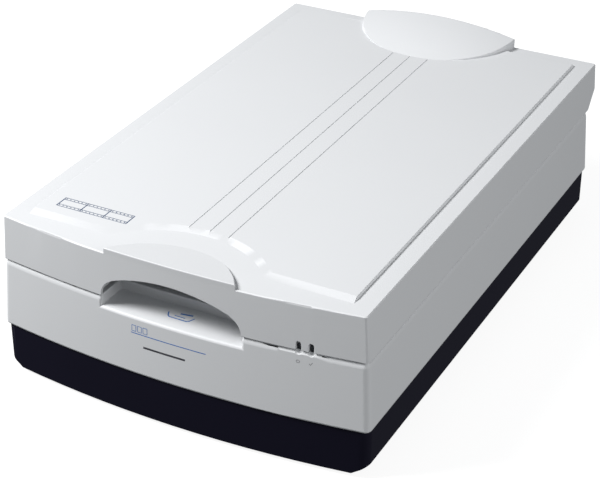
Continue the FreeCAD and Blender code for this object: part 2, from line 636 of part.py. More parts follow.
def upper_housing():
    """Light shell: drafted walls, deck with glass seat, finger recess, bosses and hinge slots."""
    body = new_body("shell_body")
    foot_plan = sketch_on(body, "shell_foot_plan", "XY_Plane", TUB_TOP)
    bowed(foot_plan, S.shell_width / 2, S.front_foot_line, S.rear_foot_line, S.front_bow, S.shell_corner)
    brow_plan = sketch_on(body, "shell_brow_plan", "XY_Plane", DECK - S.shell_edge)
    bowed(brow_plan, S.seam_width / 2, S.front_seam_line, S.rear_seam_line, S.front_bow, S.shell_corner)
    deck_plan = sketch_on(body, "shell_deck_plan", "XY_Plane", DECK)
    bowed(deck_plan, S.seam_width / 2 - S.shell_bevel, S.front_seam_line + S.shell_bevel,
          S.rear_seam_line - S.shell_bevel, S.front_bow, S.shell_corner - S.shell_bevel)
    loft(body, "shell_block", foot_plan, brow_plan, deck_plan)

    half = S.seam_width / 2 - S.shell_wall
    front = S.front_seam_line + S.shell_wall
    rear = S.rear_seam_line - S.shell_wall
    room = sketch_on(body, "shell_room_plan", "XY_Plane", TUB_TOP)
    bowed(room, half, front, rear, S.front_bow)
    pocket(body, "shell_room", room, DECK_UNDER - TUB_TOP, upwards=True)
    tray_half = S.grip_half + S.shell_wall
    share = 2 * tray_half / S.seam_width
    tray = sketch_on(body, "recess_tray_plan", "XY_Plane", SILL_UNDER)
    bowed(tray, tray_half, front_at(tray_half, S.front_seam_line + S.shell_wall / 2, S.seam_width / 2),
          GRIP_REAR + S.shell_wall, S.front_bow * share * share)
    pad(body, "recess_tray", tray, DECK_UNDER - SILL_UNDER + 1)

    grip = sketch_on(body, "finger_recess_plan", "XY_Plane", DECK)
    rectangle(grip, (-S.grip_half, S.grip_half), (S.front_foot_line - 2 * S.front_bow, GRIP_REAR))
    pocket(body, "finger_recess", grip, S.sill_drop)

    seat = sketch_on(body, "glass_seat_plan", "XY_Plane", DECK)
    rectangle(seat, (-S.glass_half - S.drop_in, S.glass_half + S.drop_in),
              (S.glass_front - S.drop_in, S.glass_rear + S.drop_in))
    pocket(body, "glass_seat", seat, S.glass_sink + S.glass_thickness)
    view = sketch_on(body, "glass_opening_plan", "XY_Plane", DECK)
    rectangle(view, (S.glass_ledge - S.glass_half, S.glass_half - S.glass_ledge), VIEW_ALONG)
    pocket(body, "glass_opening", view, S.deck_thickness)

    slots = sketch_on(body, "hinge_slots_plan", "XY_Plane", DECK)
    for side in (-1, 1):
        rectangle(slots, (side * S.hinge_across - POST_SLOT_HALF, side * S.hinge_across + POST_SLOT_HALF),
                  (S.post_front - S.drop_in, S.post_front + S.post_depth + S.drop_in))
    pocket(body, "hinge_slots", slots, S.deck_thickness)

    pipes = sketch_on(body, "light_holes_plan", "XY_Plane", DECK)
    for x in LIGHT_SPOTS:
        rectangle(pipes, (x - PIPE_HALF - S.sliding_fit, x + PIPE_HALF + S.sliding_fit),
                  (pipe_front(x) - S.sliding_fit, pipe_front(x) + PIPE_DEPTH + S.sliding_fit))
    pocket(body, "light_holes", pipes, S.deck_thickness)

    bosses = sketch_on(body, "case_bosses_plan", "XY_Plane", FLOOR + POST_HEIGHT)
    pilots = sketch_on(body, "case_pilots_plan", "XY_Plane", FLOOR + POST_HEIGHT)
    for x, y in SCREW_SPOTS:
        round_hole(bosses, x, y, S.boss_radius)
        round_hole(pilots, x, y, S.screw_radius)
    pad(body, "case_bosses", bosses, DECK_UNDER - FLOOR - POST_HEIGHT + 1)
    pocket(body, "case_pilots", pilots, S.screw_length, upwards=True)
    studs = sketch_on(body, "light_studs_plan", "XY_Plane", LIGHT_BOARD + S.board_thickness)
    for x in LIGHT_SPOTS:
        round_hole(studs, x, LIGHT_STUD_LINE, S.stud_radius)
    pad(body, "light_studs", studs, DECK_UNDER - LIGHT_BOARD - S.board_thickness + 1)

    dimples = []
    for index, x in enumerate(LIGHT_SPOTS):
        ball = doc.addObject("Part::Sphere", "light_dimple_%d" % index)
        bind(ball, "Radius", S.light_scoop)
        place(ball, x, front_at(x, S.front_seam_line, S.seam_width / 2) - S.light_scoop / 4, DECK)
        dimples.append(ball)
    return cut("upper_housing", body, *dimples)


def platen():
    glass = block("platen_glass", (-S.glass_half, S.glass_half), (S.glass_front, S.glass_rear),
                  (GLASS_BOTTOM, GLASS_TOP))
    strip_half = S.glass_half - S.glass_ledge - S.drop_in
    strip = block("calibration_strip", (-strip_half, strip_half),
                  (VIEW_ALONG[0] + S.drop_in, VIEW_ALONG[0] + S.strip_length - S.drop_in),
                  (GLASS_BOTTOM - S.strip_thickness, GLASS_BOTTOM))
    return [glass, strip]


def feet():
    pads = []
    for index, spot in enumerate(FOOT_SPOTS):
        pads.append(cylinder("foot_%d" % index, "Z", spot, (0, S.foot_height + S.foot_seat), S.foot_radius))
    return [group("rubber_feet", *pads)]


def screw(name, x, y, seat, length):
    """A pan-head screw that points up from the level of its seat."""
    head = cylinder(name + "_head", "Z", (x, y), (seat - S.screw_head_depth, seat), S.screw_head)
    shank = cylinder(name + "_shank", "Z", (x, y), (seat - S.screw_head_depth, seat + length), S.screw_radius)
    return fuse(name, head, shank)


def case_screws():
    seat = FLOOR
    length = POST_HEIGHT + S.screw_length - 3
    return [group("case_screws", *[screw("case_screw_%d" % index, x, y, seat, length)
                                   for index, (x, y) in enumerate(SCREW_SPOTS)])]


# ---------------------------------------------------------------- scan head, guides and drive

SCAN_LINE = S.head_front + S.scan_line
HEAD_REAR = S.head_front + S.head_depth
BUSH_RADIUS = S.rod_radius + S.bush_wall
STRAND = S.pulley_radius + S.belt_gap + S.belt_thickness / 2
PULLEY_BOTTOM = S.belt_bottom - 2
PULLEY_TOP = S.belt_bottom + S.belt_width + 2
GEAR_TOP = PULLEY_BOTTOM
GEAR_BOTTOM = GEAR_TOP - S.gear_width
BRACKET_TOP = GEAR_BOTTOM - 4
BRACKET_SHEET = as_length(2)


def guides():
    rod = cylinder("guide_rod", "Y", (S.rod_across, S.rod_height), (-S.rod_half, S.rod_half), S.rod_radius)
    right = S.rail_left + S.rail_width
    along = (S.head_front - 8, HEAD_REAR + S.scan_length - 6)
    flange = block("rail_flange", (S.rail_left, right), along, (S.rail_height - S.rail_sheet, S.rail_height))
    web = block("rail_web", (right - S.rail_sheet, right), along, (FLOOR, S.rail_height - S.rail_sheet))
    return [rod, fuse("support_rail", flange, web)]


def head_frame():
    """Open-topped tray of the scan head, with bores for the rod bushes in its front and rear walls."""
    body = new_body("head_frame")
    plan = sketch_on(body, "head_plan", "XY_Plane", S.head_bottom)
    rectangle(plan, (-S.head_half, S.head_half), (S.head_front, HEAD_REAR))
    pad(body, "head_block", plan, S.head_top - S.head_bottom)
    room = sketch_on(body, "head_room_plan", "XY_Plane", S.head_top)
    rectangle(room, (S.head_wall - S.head_half, S.head_half - S.head_wall),
              (S.head_front + S.head_wall, HEAD_REAR - S.head_wall))
    pocket(body, "head_room", room, S.head_top - S.head_bottom - S.head_wall)
    bores = sketch_on(body, "head_bores_plan", "XZ_Plane", -S.head_front)
    round_hole(bores, S.rod_across, S.rod_height, BUSH_RADIUS)
    pocket(body, "head_bores", bores, S.head_depth)
    return body


def tilted_mirror(name, half, centre, depth, thickness, tilt):
    """A glass slab along X, turned by tilt degrees about X round its own centre."""
    slab = doc.addObject("Part::Box", name)
    bind(slab, "Length", 2 * half)
    bind(slab, "Width", depth)
    bind(slab, "Height", thickness)
    slab.Placement = FreeCAD.Placement(FreeCAD.Vector(), FreeCAD.Rotation(FreeCAD.Vector(1, 0, 0), tilt))
    cosine, sine = math.cos(math.radians(tilt)), math.sin(math.radians(tilt))
    along, up = as_length(depth) / 2, as_length(thickness) / 2
    return place(slab, -half, centre[0] - along * cosine + up * sine, centre[1] - along * sine - up * cosine)


def head_optics():
    """Lamps in their reflector, two mirrors between brackets, the lens and the sensor board."""
    inner = S.head_half - S.head_wall
    floor = S.head_bottom + S.head_wall
    cover_sheet = 1.5
    along = (S.head_front + S.head_wall, HEAD_REAR - S.head_wall)
    cover = cut("head_cover",
                block("head_cover_plate", (-inner, inner), along, (S.head_top - cover_sheet, S.head_top)),
                block("head_cover_slit", (-S.lamp_half, S.lamp_half), (SCAN_LINE - 4, SCAN_LINE + 4),
                      (S.head_top - 2 * cover_sheet, S.head_top + 1)))
    trough_bottom, trough_half, sheet = S.head_top - 18, S.lamp_offset + 7, 1
    reflector = cut("lamp_reflector",
                    block("trough_block", (-inner, inner), (SCAN_LINE - trough_half, SCAN_LINE + trough_half),
                          (trough_bottom, S.head_top - cover_sheet)),
                    block("trough_room", (-S.lamp_half, S.lamp_half),
                          (SCAN_LINE - trough_half + sheet, SCAN_LINE + trough_half - sheet),
                          (trough_bottom + sheet, S.head_top)),
                    block("trough_slit", (sheet - S.lamp_half, S.lamp_half - sheet),
                          (SCAN_LINE - 3, SCAN_LINE + 3), (trough_bottom - 1, S.head_top)))
    lamps = [cylinder("lamp_%d" % side, "X", (SCAN_LINE + side * S.lamp_offset, trough_bottom + 8),
                      (-S.lamp_half, S.lamp_half), S.lamp_radius) for side in (-1, 1)]
    mirror_half, bracket_sheet = 120, 3
    brackets = [block("optics_bracket_%d" % index, (low, low + bracket_sheet), along, (floor, trough_bottom))
                for index, low in enumerate((-mirror_half - bracket_sheet, mirror_half))]
    first = tilted_mirror("first_mirror", as_length(mirror_half), (SCAN_LINE, floor + 21), 16, 3, 40)
    second = tilted_mirror("second_mirror", as_length(mirror_half), (HEAD_REAR - 12, floor + 16), 22, 3, 97)
    lens_height, lens_radius = floor + 10, as_length(6)
    lens_span = (SCAN_LINE + 11, SCAN_LINE + 27)
    barrel = cylinder("lens_barrel", "Y", (0, lens_height), lens_span, lens_radius)
    saddle = cut("lens_holder",
                 block("lens_holder_block", (-12, 12), lens_span, (floor, lens_height)),
                 cylinder("lens_holder_seat", "Y", (0, lens_height), lens_span, lens_radius + S.running_fit))
    board_span = (along[0], along[0] + S.board_thickness)
    board = block("sensor_board_plate", (-48, 48), board_span, (floor, floor + 30))
    chip = block("sensor_chip", (-34, 34), (board_span[1], board_span[1] + 3),
                 (lens_height - 5, lens_height + 5))
    return [cover, reflector, group("lamps", *lamps), group("optics_brackets", *brackets), first, second,
            barrel, saddle, fuse("sensor_board", board, chip)]


def head_running_gear():
    """Rod bushes, the shoe on the right-hand rail and the clamp round one strand of the belt."""
    spans = ((S.head_front, S.head_front + S.bush_length), (HEAD_REAR - S.bush_length, HEAD_REAR))
    bushes = [ring("rod_bush_%d" % index, "Y", (S.rod_across, S.rod_height), span,
                   BUSH_RADIUS, S.rod_radius + S.running_fit) for index, span in enumerate(spans)]
    shoe = block("slide_shoe", (S.rail_left + 1, S.rail_left + S.rail_width - 1),
                 (S.head_front + 10, HEAD_REAR - 10), (S.rail_height + S.sliding_fit, S.head_bottom))
    strand = S.belt_across - STRAND
    grip_half, slot_half = 4.5, S.belt_thickness / 2 + 0.4
    along = (SCAN_LINE - 1, SCAN_LINE + 15)
    jaw = cut("belt_clamp",
              block("clamp_block", (strand - grip_half, strand + grip_half), along,
                    (S.belt_bottom - 1.4, S.head_bottom)),
              block("clamp_slot", (strand - slot_half, strand + slot_half), (along[0] - 1, along[1] + 1),
                    (S.belt_bottom - 3, S.belt_bottom + S.belt_width + 0.5)))
    return [group("rod_bushes", *bushes), shoe, jaw]


def belt(name, across, ends, bottom, width):
    """A closed belt round two pulleys: the space between two stadium outlines."""
    body = new_body(name)
    plan = sketch_on(body, name + "_plan", "XY_Plane", bottom)
    inner = S.pulley_radius + S.belt_gap
    for radius in (inner + S.belt_thickness, inner):
        outline(plan, ((across + radius, ends[0]), (across + radius, ends[1]),
                       (across - radius, ends[1]), (across - radius, ends[0])),
                {1: (across, ends[1]), 3: (across, ends[0])})
    pad(body, name + "_loop", plan, width)
    return body


def disc(body, name, span, radius):
    plan = sketch_on(body, name + "_plan", "XY_Plane", span[0])
    round_hole(plan, 0, 0, radius)
    return pad(body, name, plan, as_length(span[1]) - span[0])


def bore(body, name, span, radius):
    plan = sketch_on(body, name + "_plan", "XY_Plane", span[0])
    round_hole(plan, 0, 0, radius)
    pocket(body, name, plan, as_length(span[1]) - span[0], upwards=True)


def rim(body, name, belt_bottom, belt_width):
    """A belt pulley with a flange on each side of the belt."""
    low, high, flange = belt_bottom - 0.5, belt_bottom + belt_width + 0.5, S.pulley_radius + S.pulley_flange
    disc(body, name + "_lower_flange", (belt_bottom - 2, low), flange)
    disc(body, name + "_rim", (low, high), S.pulley_radius)
    disc(body, name + "_upper_flange", (high, belt_bottom + belt_width + 2), flange)


def teeth(body, name, count, span):
    """Spur teeth: straight-flanked trapezoids in a polar pattern on a root disc."""
    root = S.gear_module * (count / 2 - 1.25)
    tip = S.gear_module * (count / 2 + 0.9)
    disc(body, name + "_root", span, root)
    plan = sketch_on(body, name + "_tooth_plan", "XY_Plane", span[0])
    foot, crest = S.gear_module * 0.95, S.gear_module * 0.36
    buried = root - S.gear_module / 2
    outline(plan, ((buried, -foot), (tip, -crest), (tip, crest), (buried, foot)))
    tooth = pad(body, name + "_tooth", plan, as_length(span[1]) - span[0])
    doc.recompute()
    pattern = body.newObject("PartDesign::PolarPattern", name + "_teeth")
    pattern.Originals = [tooth]
    pattern.Axis = ([feature for feature in body.Origin.OriginFeatures if feature.Role == "Z_Axis"][0], [""])
    pattern.Angle = 360
    bind(pattern, "Occurrences", count)
    body.Tip = pattern
    doc.recompute()


def drive():
    """Motor and bracket, geared belt pulley at the rear, sprung idler at the front, and the belt."""
    shaft_top = GEAR_TOP + 0.5
    can_top = BRACKET_TOP - BRACKET_SHEET
    motor = cylinder("scan_motor", "Z", (PINION_ACROSS, S.belt_half), (can_top - S.motor_height, can_top),
                     S.motor_radius)
    left, right = S.belt_across - 24, BRACKET_RIGHT
    along = (S.belt_half - 19.5, S.belt_half + 19)
    plate = cut("motor_plate",
                block("motor_plate_sheet", (left, right), along, (can_top, BRACKET_TOP)),
                cylinder("motor_plate_hole", "Z", (PINION_ACROSS, S.belt_half), (can_top, BRACKET_TOP), 5))
    legs = [block("motor_leg_%d" % index, (low, low + BRACKET_SHEET), along, (FLOOR, can_top))
            for index, low in enumerate((left, right - BRACKET_SHEET))]
    stud = cylinder("belt_gear_stud", "Z", (S.belt_across, S.belt_half), (can_top, PULLEY_TOP + 1),
                    S.stud_radius)
    bracket = fuse("motor_bracket", plate, stud, *legs)

    pinion = new_body("motor_pinion")
    teeth(pinion, "pinion", S.pinion_teeth, (GEAR_BOTTOM, GEAR_TOP))
    disc(pinion, "pinion_shaft_lower", (can_top + S.running_fit, GEAR_BOTTOM), S.motor_shaft)
    disc(pinion, "pinion_shaft_upper", (GEAR_TOP, shaft_top), S.motor_shaft)
    half_tooth = FreeCAD.Rotation(FreeCAD.Vector(0, 0, 1), 180.0 / S.pinion_teeth.number)
    pinion.Placement = FreeCAD.Placement(FreeCAD.Vector(), half_tooth)
    place(pinion, PINION_ACROSS, S.belt_half, 0)

    gear = new_body("belt_gear")
    teeth(gear, "belt_gear", S.gear_teeth, (GEAR_BOTTOM, GEAR_TOP))
    disc(gear, "belt_gear_hub", (BRACKET_TOP + S.sliding_fit, GEAR_BOTTOM), S.pulley_radius)
    rim(gear, "belt_gear", S.belt_bottom, S.belt_width)
    bore(gear, "belt_gear_bore", (BRACKET_TOP, PULLEY_TOP + 1), S.stud_radius + S.running_fit)
    place(gear, S.belt_across, S.belt_half, 0)

    idler = new_body("idler_pulley")
    rim(idler, "idler", S.belt_bottom, S.belt_width)
    bore(idler, "idler_bore", (PULLEY_BOTTOM - 1, PULLEY_TOP + 1), S.stud_radius + S.running_fit)
    place(idler, S.belt_across, -S.belt_half, 0)
    carrier_half, carrier_top = 12, PULLEY_BOTTOM - S.sliding_fit
    carrier = fuse("idler_bracket",
                   block("idler_carrier", (S.belt_across - carrier_half, S.belt_across + carrier_half),
                         (-S.belt_half - carrier_half, -S.belt_half + carrier_half), (FLOOR, carrier_top)),
                   cylinder("idler_stud", "Z", (S.belt_across, -S.belt_half),
                            (carrier_top - 1, PULLEY_TOP + 1), S.stud_radius))
    leaf, leaf_half, leaf_rear = 0.8, 7, -S.belt_half - carrier_half
    spring = fuse("idler_spring",
                  block("idler_leaf", (S.belt_across - leaf_half, S.belt_across + leaf_half),
                        (leaf_rear - leaf, leaf_rear), (FLOOR, FLOOR + 24)),
                  block("idler_leaf_foot", (S.belt_across - leaf_half, S.belt_across + leaf_half),
                        (leaf_rear - 12, leaf_rear), (FLOOR, FLOOR + leaf)))
    loop = belt("drive_belt", S.belt_across, (-S.belt_half, S.belt_half), S.belt_bottom, S.belt_width)
    return [motor, bracket, pinion, gear, idler, carrier, spring, loop]


# ---------------------------------------------------------------- electronics and rear sockets



def socket(name, x, z, depth, mouth, tongue):
    """A connector shell that looks to the rear: a box with a mouth, and a tongue standing in it.
    mouth and tongue are (half width, half height, how deep or how long)."""
    middle_x, middle_z = as_length(x[0] + x[1]) / 2, (as_length(z[0]) + z[1]) / 2
    shell = block(name + "_shell", x, (SOCKETS_REAR - depth, SOCKETS_REAR), z)
    space = block(name + "_mouth", (middle_x - mouth[0], middle_x + mouth[0]),
                  (SOCKETS_REAR - mouth[2], SOCKETS_REAR + 1), (middle_z - mouth[1], middle_z + mouth[1]))
    blade = block(name + "_tongue", (middle_x - tongue[0], middle_x + tongue[0]),
                  (SOCKETS_REAR - mouth[2], SOCKETS_REAR - mouth[2] + tongue[2]),
                  (middle_z - tongue[1], middle_z + tongue[1]))
    return fuse(name, cut(name + "_box", shell, space), blade)


def electronics():
    board = block("main_board", BOARD_ACROSS, BOARD_ALONG, (BOARD_BOTTOM, BOARD_TOP))
    front = BOARD_ALONG[0]
    layout = ((BOARD_ACROSS[0] + 40, 40, 32, 32), (26, 34, 22, 22), (26, 64, 14, 20),
              (BOARD_ACROSS[0] + 12, 26, 18, 12), (56, 18, 20, 12))
    chips = [block("chip_%d" % index, (x, x + width), (front + ahead, front + ahead + depth),
                   (BOARD_TOP, BOARD_TOP + 3)) for index, (x, ahead, width, depth) in enumerate(layout)]
    cans = [cylinder("capacitor_%d" % index, "Z", (62 + 13 * (index % 2), front + 50 + 14 * (index // 2)),
                     (BOARD_TOP, BOARD_TOP + 16), 5) for index in range(4)]
    sheet_metal, supply_top = 1.2, FLOOR + 37
    supply_x, supply_y = (20, 138), (front - 210, front - 20)
    vents = [front - 195 + 12 * index for index in range(14)]
    supply = cut("power_supply",
                 block("supply_case", supply_x, supply_y, (FLOOR, supply_top)),
                 block("supply_room", (supply_x[0] + sheet_metal, supply_x[1] - sheet_metal),
                       (supply_y[0] + sheet_metal, supply_y[1] - sheet_metal),
                       (FLOOR + sheet_metal, supply_top - sheet_metal)),
                 *[block("supply_vent_%d" % index, (supply_x[0] + 12, supply_x[1] - 12), (vent, vent + 4),
                         (supply_top - 2 * sheet_metal, supply_top + 1)) for index, vent in enumerate(vents)])
    usb = socket("usb_socket", (-38, -26), (BOARD_TOP, BOARD_TOP + 11), 18, (4.3, 3.9, 9), (2.8, 1.6, 7.5))
    wires = [socket("firewire_%d" % index, (x, x + 12), (BOARD_TOP, BOARD_TOP + 7), 16, (5, 2.4, 8),
                    (3.6, 1, 7)) for index, x in enumerate((-18, 0))]
    film = socket("adapter_socket", (22, 61), (BOARD_TOP, BOARD_TOP + 12.5), 14, (12.5, 4, 6), (11.5, 3, 5))
    inlet_box = socket("power_inlet_housing", (126, 158), (17, 41), 24, (12, 8.5, 18), (2, 1, 12))
    pins = [block("inlet_pin_%d" % index, (x - 1, x + 1), (SOCKETS_REAR - 18, SOCKETS_REAR - 6), (25.5, 29.5))
            for index, x in enumerate((135, 149))]
    inlet = fuse("power_inlet", inlet_box, *pins)
    spaces = [block("plate_hole_%d" % index, x, (PLATE_REAR - 3, PLATE_REAR + 1), z)
              for index, (x, z) in enumerate((((-38, -26), (BOARD_TOP, BOARD_TOP + 11)),
                                              ((-18, -6), (BOARD_TOP, BOARD_TOP + 7)),
                                              ((0, 12), (BOARD_TOP, BOARD_TOP + 7)),
                                              ((22, 61), (BOARD_TOP, BOARD_TOP + 12.5)),
                                              (SWITCH_ACROSS, SWITCH_HEIGHT),
                                              ((126, 158), (17, 41))))]
    plate = cut("connector_plate",
                block("connector_sheet", (PLATE_WINDOW[0] - 5, PLATE_WINDOW[1] + 5),
                      (PLATE_REAR - S.plate_thickness, PLATE_REAR),
                      (PLATE_WINDOW_HEIGHT[0] - 5, PLATE_WINDOW_HEIGHT[1] + 4)), *spaces)
    return [board, group("board_chips", *chips, *cans), supply, usb, group("firewire_sockets", *wires), film,
            inlet, plate]


SWITCH_ACROSS = (97, 121)
SWITCH_HEIGHT = (17, 41)
ROCKER_PIVOT = (SOCKETS_REAR - 7, as_length(29))


def power_switch():
    """A rocker on two short pivots in its frame."""
    x, z = SWITCH_ACROSS, SWITCH_HEIGHT
    y, height = ROCKER_PIVOT
    rocker_radius, wall, pivot = 8, 3, 1.5
    inner = (x[0] + wall, x[1] - wall)
    frame = cut("switch_frame",
                block("switch_box", x, (SOCKETS_REAR - 18, SOCKETS_REAR), z),
                block("switch_room", inner, (y - rocker_radius - 1, SOCKETS_REAR + 1),
                      (z[0] + wall, z[1] - wall)),
                cylinder("switch_pivot_holes", "X", (y, height), (x[0] + 1, x[1] - 1), pivot + S.running_fit))
    body = (inner[0] + S.drop_in, inner[1] - S.drop_in)
    drum = cut("rocker_body",
               cylinder("rocker_drum", "X", (y, height), body, rocker_radius),
               block("rocker_flat", (body[0] - 1, body[1] + 1), (y + 5.5, y + 10), (z[0], z[1])))
    rocker = fuse("power_rocker", drum,
                  block("rocker_pad", body, (y + 4, y + 7.5), (height, height + 5.5)),
                  cylinder("rocker_pivots", "X", (y, height), (x[0] + 1.2, x[1] - 1.2), pivot))
    return [frame, rocker]


def indicators():
    """The two light pipes that stand in the lid's slots, and the little board that feeds them."""
    top = LIGHT_BOARD + S.board_thickness
    pipes = [block("light_pipe_%d" % index, (x - PIPE_HALF, x + PIPE_HALF),
                   (pipe_front(x), pipe_front(x) + PIPE_DEPTH), (top, DECK + S.light_pipe_rise))
             for index, x in enumerate(LIGHT_SPOTS)]
    board = block("light_board", (LIGHT_SPOTS[0] - 5, LIGHT_SPOTS[1] + 5),
                  (pipe_front(LIGHT_SPOTS[1]) + 1, LIGHT_STUD_LINE + 4), (LIGHT_BOARD, top))
    return [group("light_pipes", *pipes), board]


def transport_lock():
    """A coin-slot knob in the tub's floor, with a flange inside and a spindle up to the head."""
    x, y = LOCK_SPOT
    bottom, flange_bottom = S.foot_height + 0.6, FLOOR + S.sliding_fit
    knob = cylinder("lock_knob", "Z", (x, y), (bottom, flange_bottom), LOCK_RADIUS)
    flange = cylinder("lock_flange", "Z", (x, y), (flange_bottom, flange_bottom + 2), LOCK_RADIUS + 3)
    spindle = cylinder("lock_spindle", "Z", (x, y), (flange_bottom, S.head_bottom - 4), 3)
    arm = block("lock_arm", (x, x + 14), (y - 3, y + 3), (S.head_bottom - 8, S.head_bottom - 4))
    slot = block("lock_slot", (x - LOCK_RADIUS, x + LOCK_RADIUS), (y - 1, y + 1), (bottom - 1, bottom + 1.4))
    return [cut("transport_lock", fuse("lock_solid", knob, flange, spindle, arm), slot)]


# ---------------------------------------------------------------- hinges

def hinges():
    """Posts that slide up out of sockets in the base, pins, and the leaves under the lid's ceiling."""
    x, y, z = S.hinge_across, S.hinge_line, S.hinge_height
    half = S.post_width / 2
    width = (x - half, x + half)
    depth = (S.post_front, S.post_front + S.post_depth)
    post = cut("hinge_post_right",
               fuse("hinge_post_solid",
                    block("post_blade", width, depth, (S.post_bottom, z + S.knuckle_radius)),
                    block("post_arm", width, (depth[0], y), (z - S.knuckle_radius, z + S.knuckle_radius)),
                    cylinder("post_knuckle", "X", (y, z), width, S.knuckle_radius)),
               cylinder("post_pin_hole", "X", (y, z), width, S.hinge_pin))
    cheek_inner = half + S.sliding_fit
    cheek_outer = cheek_inner + S.cheek_width
    pin = cylinder("hinge_pin_right", "X", (y, z), (x - cheek_outer, x + cheek_outer), S.hinge_pin)
    room = S.sliding_fit
    well = block("socket_well", (width[0] - room, width[1] + room), (depth[0] - room, depth[1] + room),
                 (S.post_bottom - room, DECK_UNDER))
    wall = S.socket_wall
    sleeve = block("socket_sleeve", (width[0] - room - wall, width[1] + room + wall),
                   (depth[0] - room - wall, depth[1] + room + wall), (S.post_bottom - 4, DECK_UNDER))
    sleeve_right = cut("hinge_socket_right", sleeve, well)
    cheeks = []
    for index, inner in enumerate((-cheek_outer, cheek_inner)):
        span = (x + inner, x + inner + S.cheek_width)
        along = (y - S.knuckle_radius, y + S.knuckle_radius)
        cheeks.append(block("cheek_%d" % index, span, along, (z, LID_CEILING)))
        cheeks.append(cylinder("cheek_eye_%d" % index, "X", (y, z), span, S.knuckle_radius))
    yoke = block("leaf_plate", (x - cheek_outer, x + cheek_outer), (depth[0], y + S.knuckle_radius),
                 (LID_CEILING - 2, LID_CEILING))
    leaf = cut("hinge_leaf_right", fuse("hinge_leaf_solid", yoke, *cheeks),
               cylinder("leaf_pin_hole", "X", (y, z), (x - cheek_outer, x + cheek_outer),
                        S.hinge_pin + S.running_fit))
    pairs = []
    for name, right in (("hinge_posts", post), ("hinge_pins", pin), ("hinge_sockets", sleeve_right),
                        ("hinge_leaves", leaf)):
        pairs.append(group(name, right, mirrored(name + "_left", right)))
    return pairs


# ---------------------------------------------------------------- the lid

FRONT_CUT = S.front_seam_line - 2 * S.front_bow
FRONT_CUT_DEPTH = 2 * S.front_bow - 1
LID_SPLIT = LID_BOTTOM + S.rear_slant_height + 2.5
FILM_ROD_ENDS = (S.film_head_front - 9, S.film_head_front + S.film_head_depth + S.scan_length + 9)
FILM_BRACKET = S.film_belt_bottom + S.belt_width + 2.5
NOTCH_FRONT = S.post_front - 5
LID_SCREW_ACROSS = S.lid_width / 2 - S.shell_wall - 10
LID_SCREW_SPOTS = [(side * LID_SCREW_ACROSS, along * SCREW_ALONG) for side in (-1, 1) for along in (-1, 0, 1)]


def hinge_notches(body, name, level, height):
    """Clears a space round each hinge, open to the rear."""
    plan = sketch_on(body, name + "_plan", "XY_Plane", level)
    for side in (-1, 1):
        rectangle(plan, (side * S.hinge_across - S.notch_half, side * S.hinge_across + S.notch_half),
                  (NOTCH_FRONT, S.rear_lid_line + 5))
    pocket(body, name, plan, height, upwards=True)


def arch_points():
    """The finger arch in the front wall: two end arcs and a flat crown that meet without a corner."""
    half, height, corner = S.grip_half, S.grip_height, S.grip_corner
    shoulder = half - corner
    crown = (shoulder * shoulder + height * height - corner * corner) / (2 * (height - corner))
    crown_level = LID_BOTTOM + height - crown
    share = corner / (crown - corner)
    join_x = shoulder + shoulder * share
    join_z = LID_BOTTOM + (LID_BOTTOM - crown_level) * share
    corners = ((-half, LID_BOTTOM), (-half, LID_BOTTOM - 2), (half, LID_BOTTOM - 2), (half, LID_BOTTOM),
               (join_x, join_z), (-join_x, join_z))
    centres = {3: (shoulder, LID_BOTTOM), 4: (0, crown_level), 5: (-shoulder, LID_BOTTOM)}
    return corners, centres


def panel_sketch(body, name, level, drop):
    """The raised panel's edge with its curved cut-out, moved outwards by drop times its slopes."""
    front = S.panel_front - S.panel_slope * drop
    half = S.panel_half + S.panel_step * drop
    rear = S.panel_rear + S.panel_step * drop
    chord = S.scoop_half - S.panel_slope * drop / 2
    radius = (chord * chord + S.scoop_depth * S.scoop_depth) / (2 * S.scoop_depth)
    sketch = sketch_on(body, name, "XY_Plane", level)
    corners = ((half, rear), (half, front), (chord, front), (-chord, front), (-half, front), (-half, rear))
    outline(sketch, corners, {2: (0, front + S.scoop_depth - radius)})
    return sketch


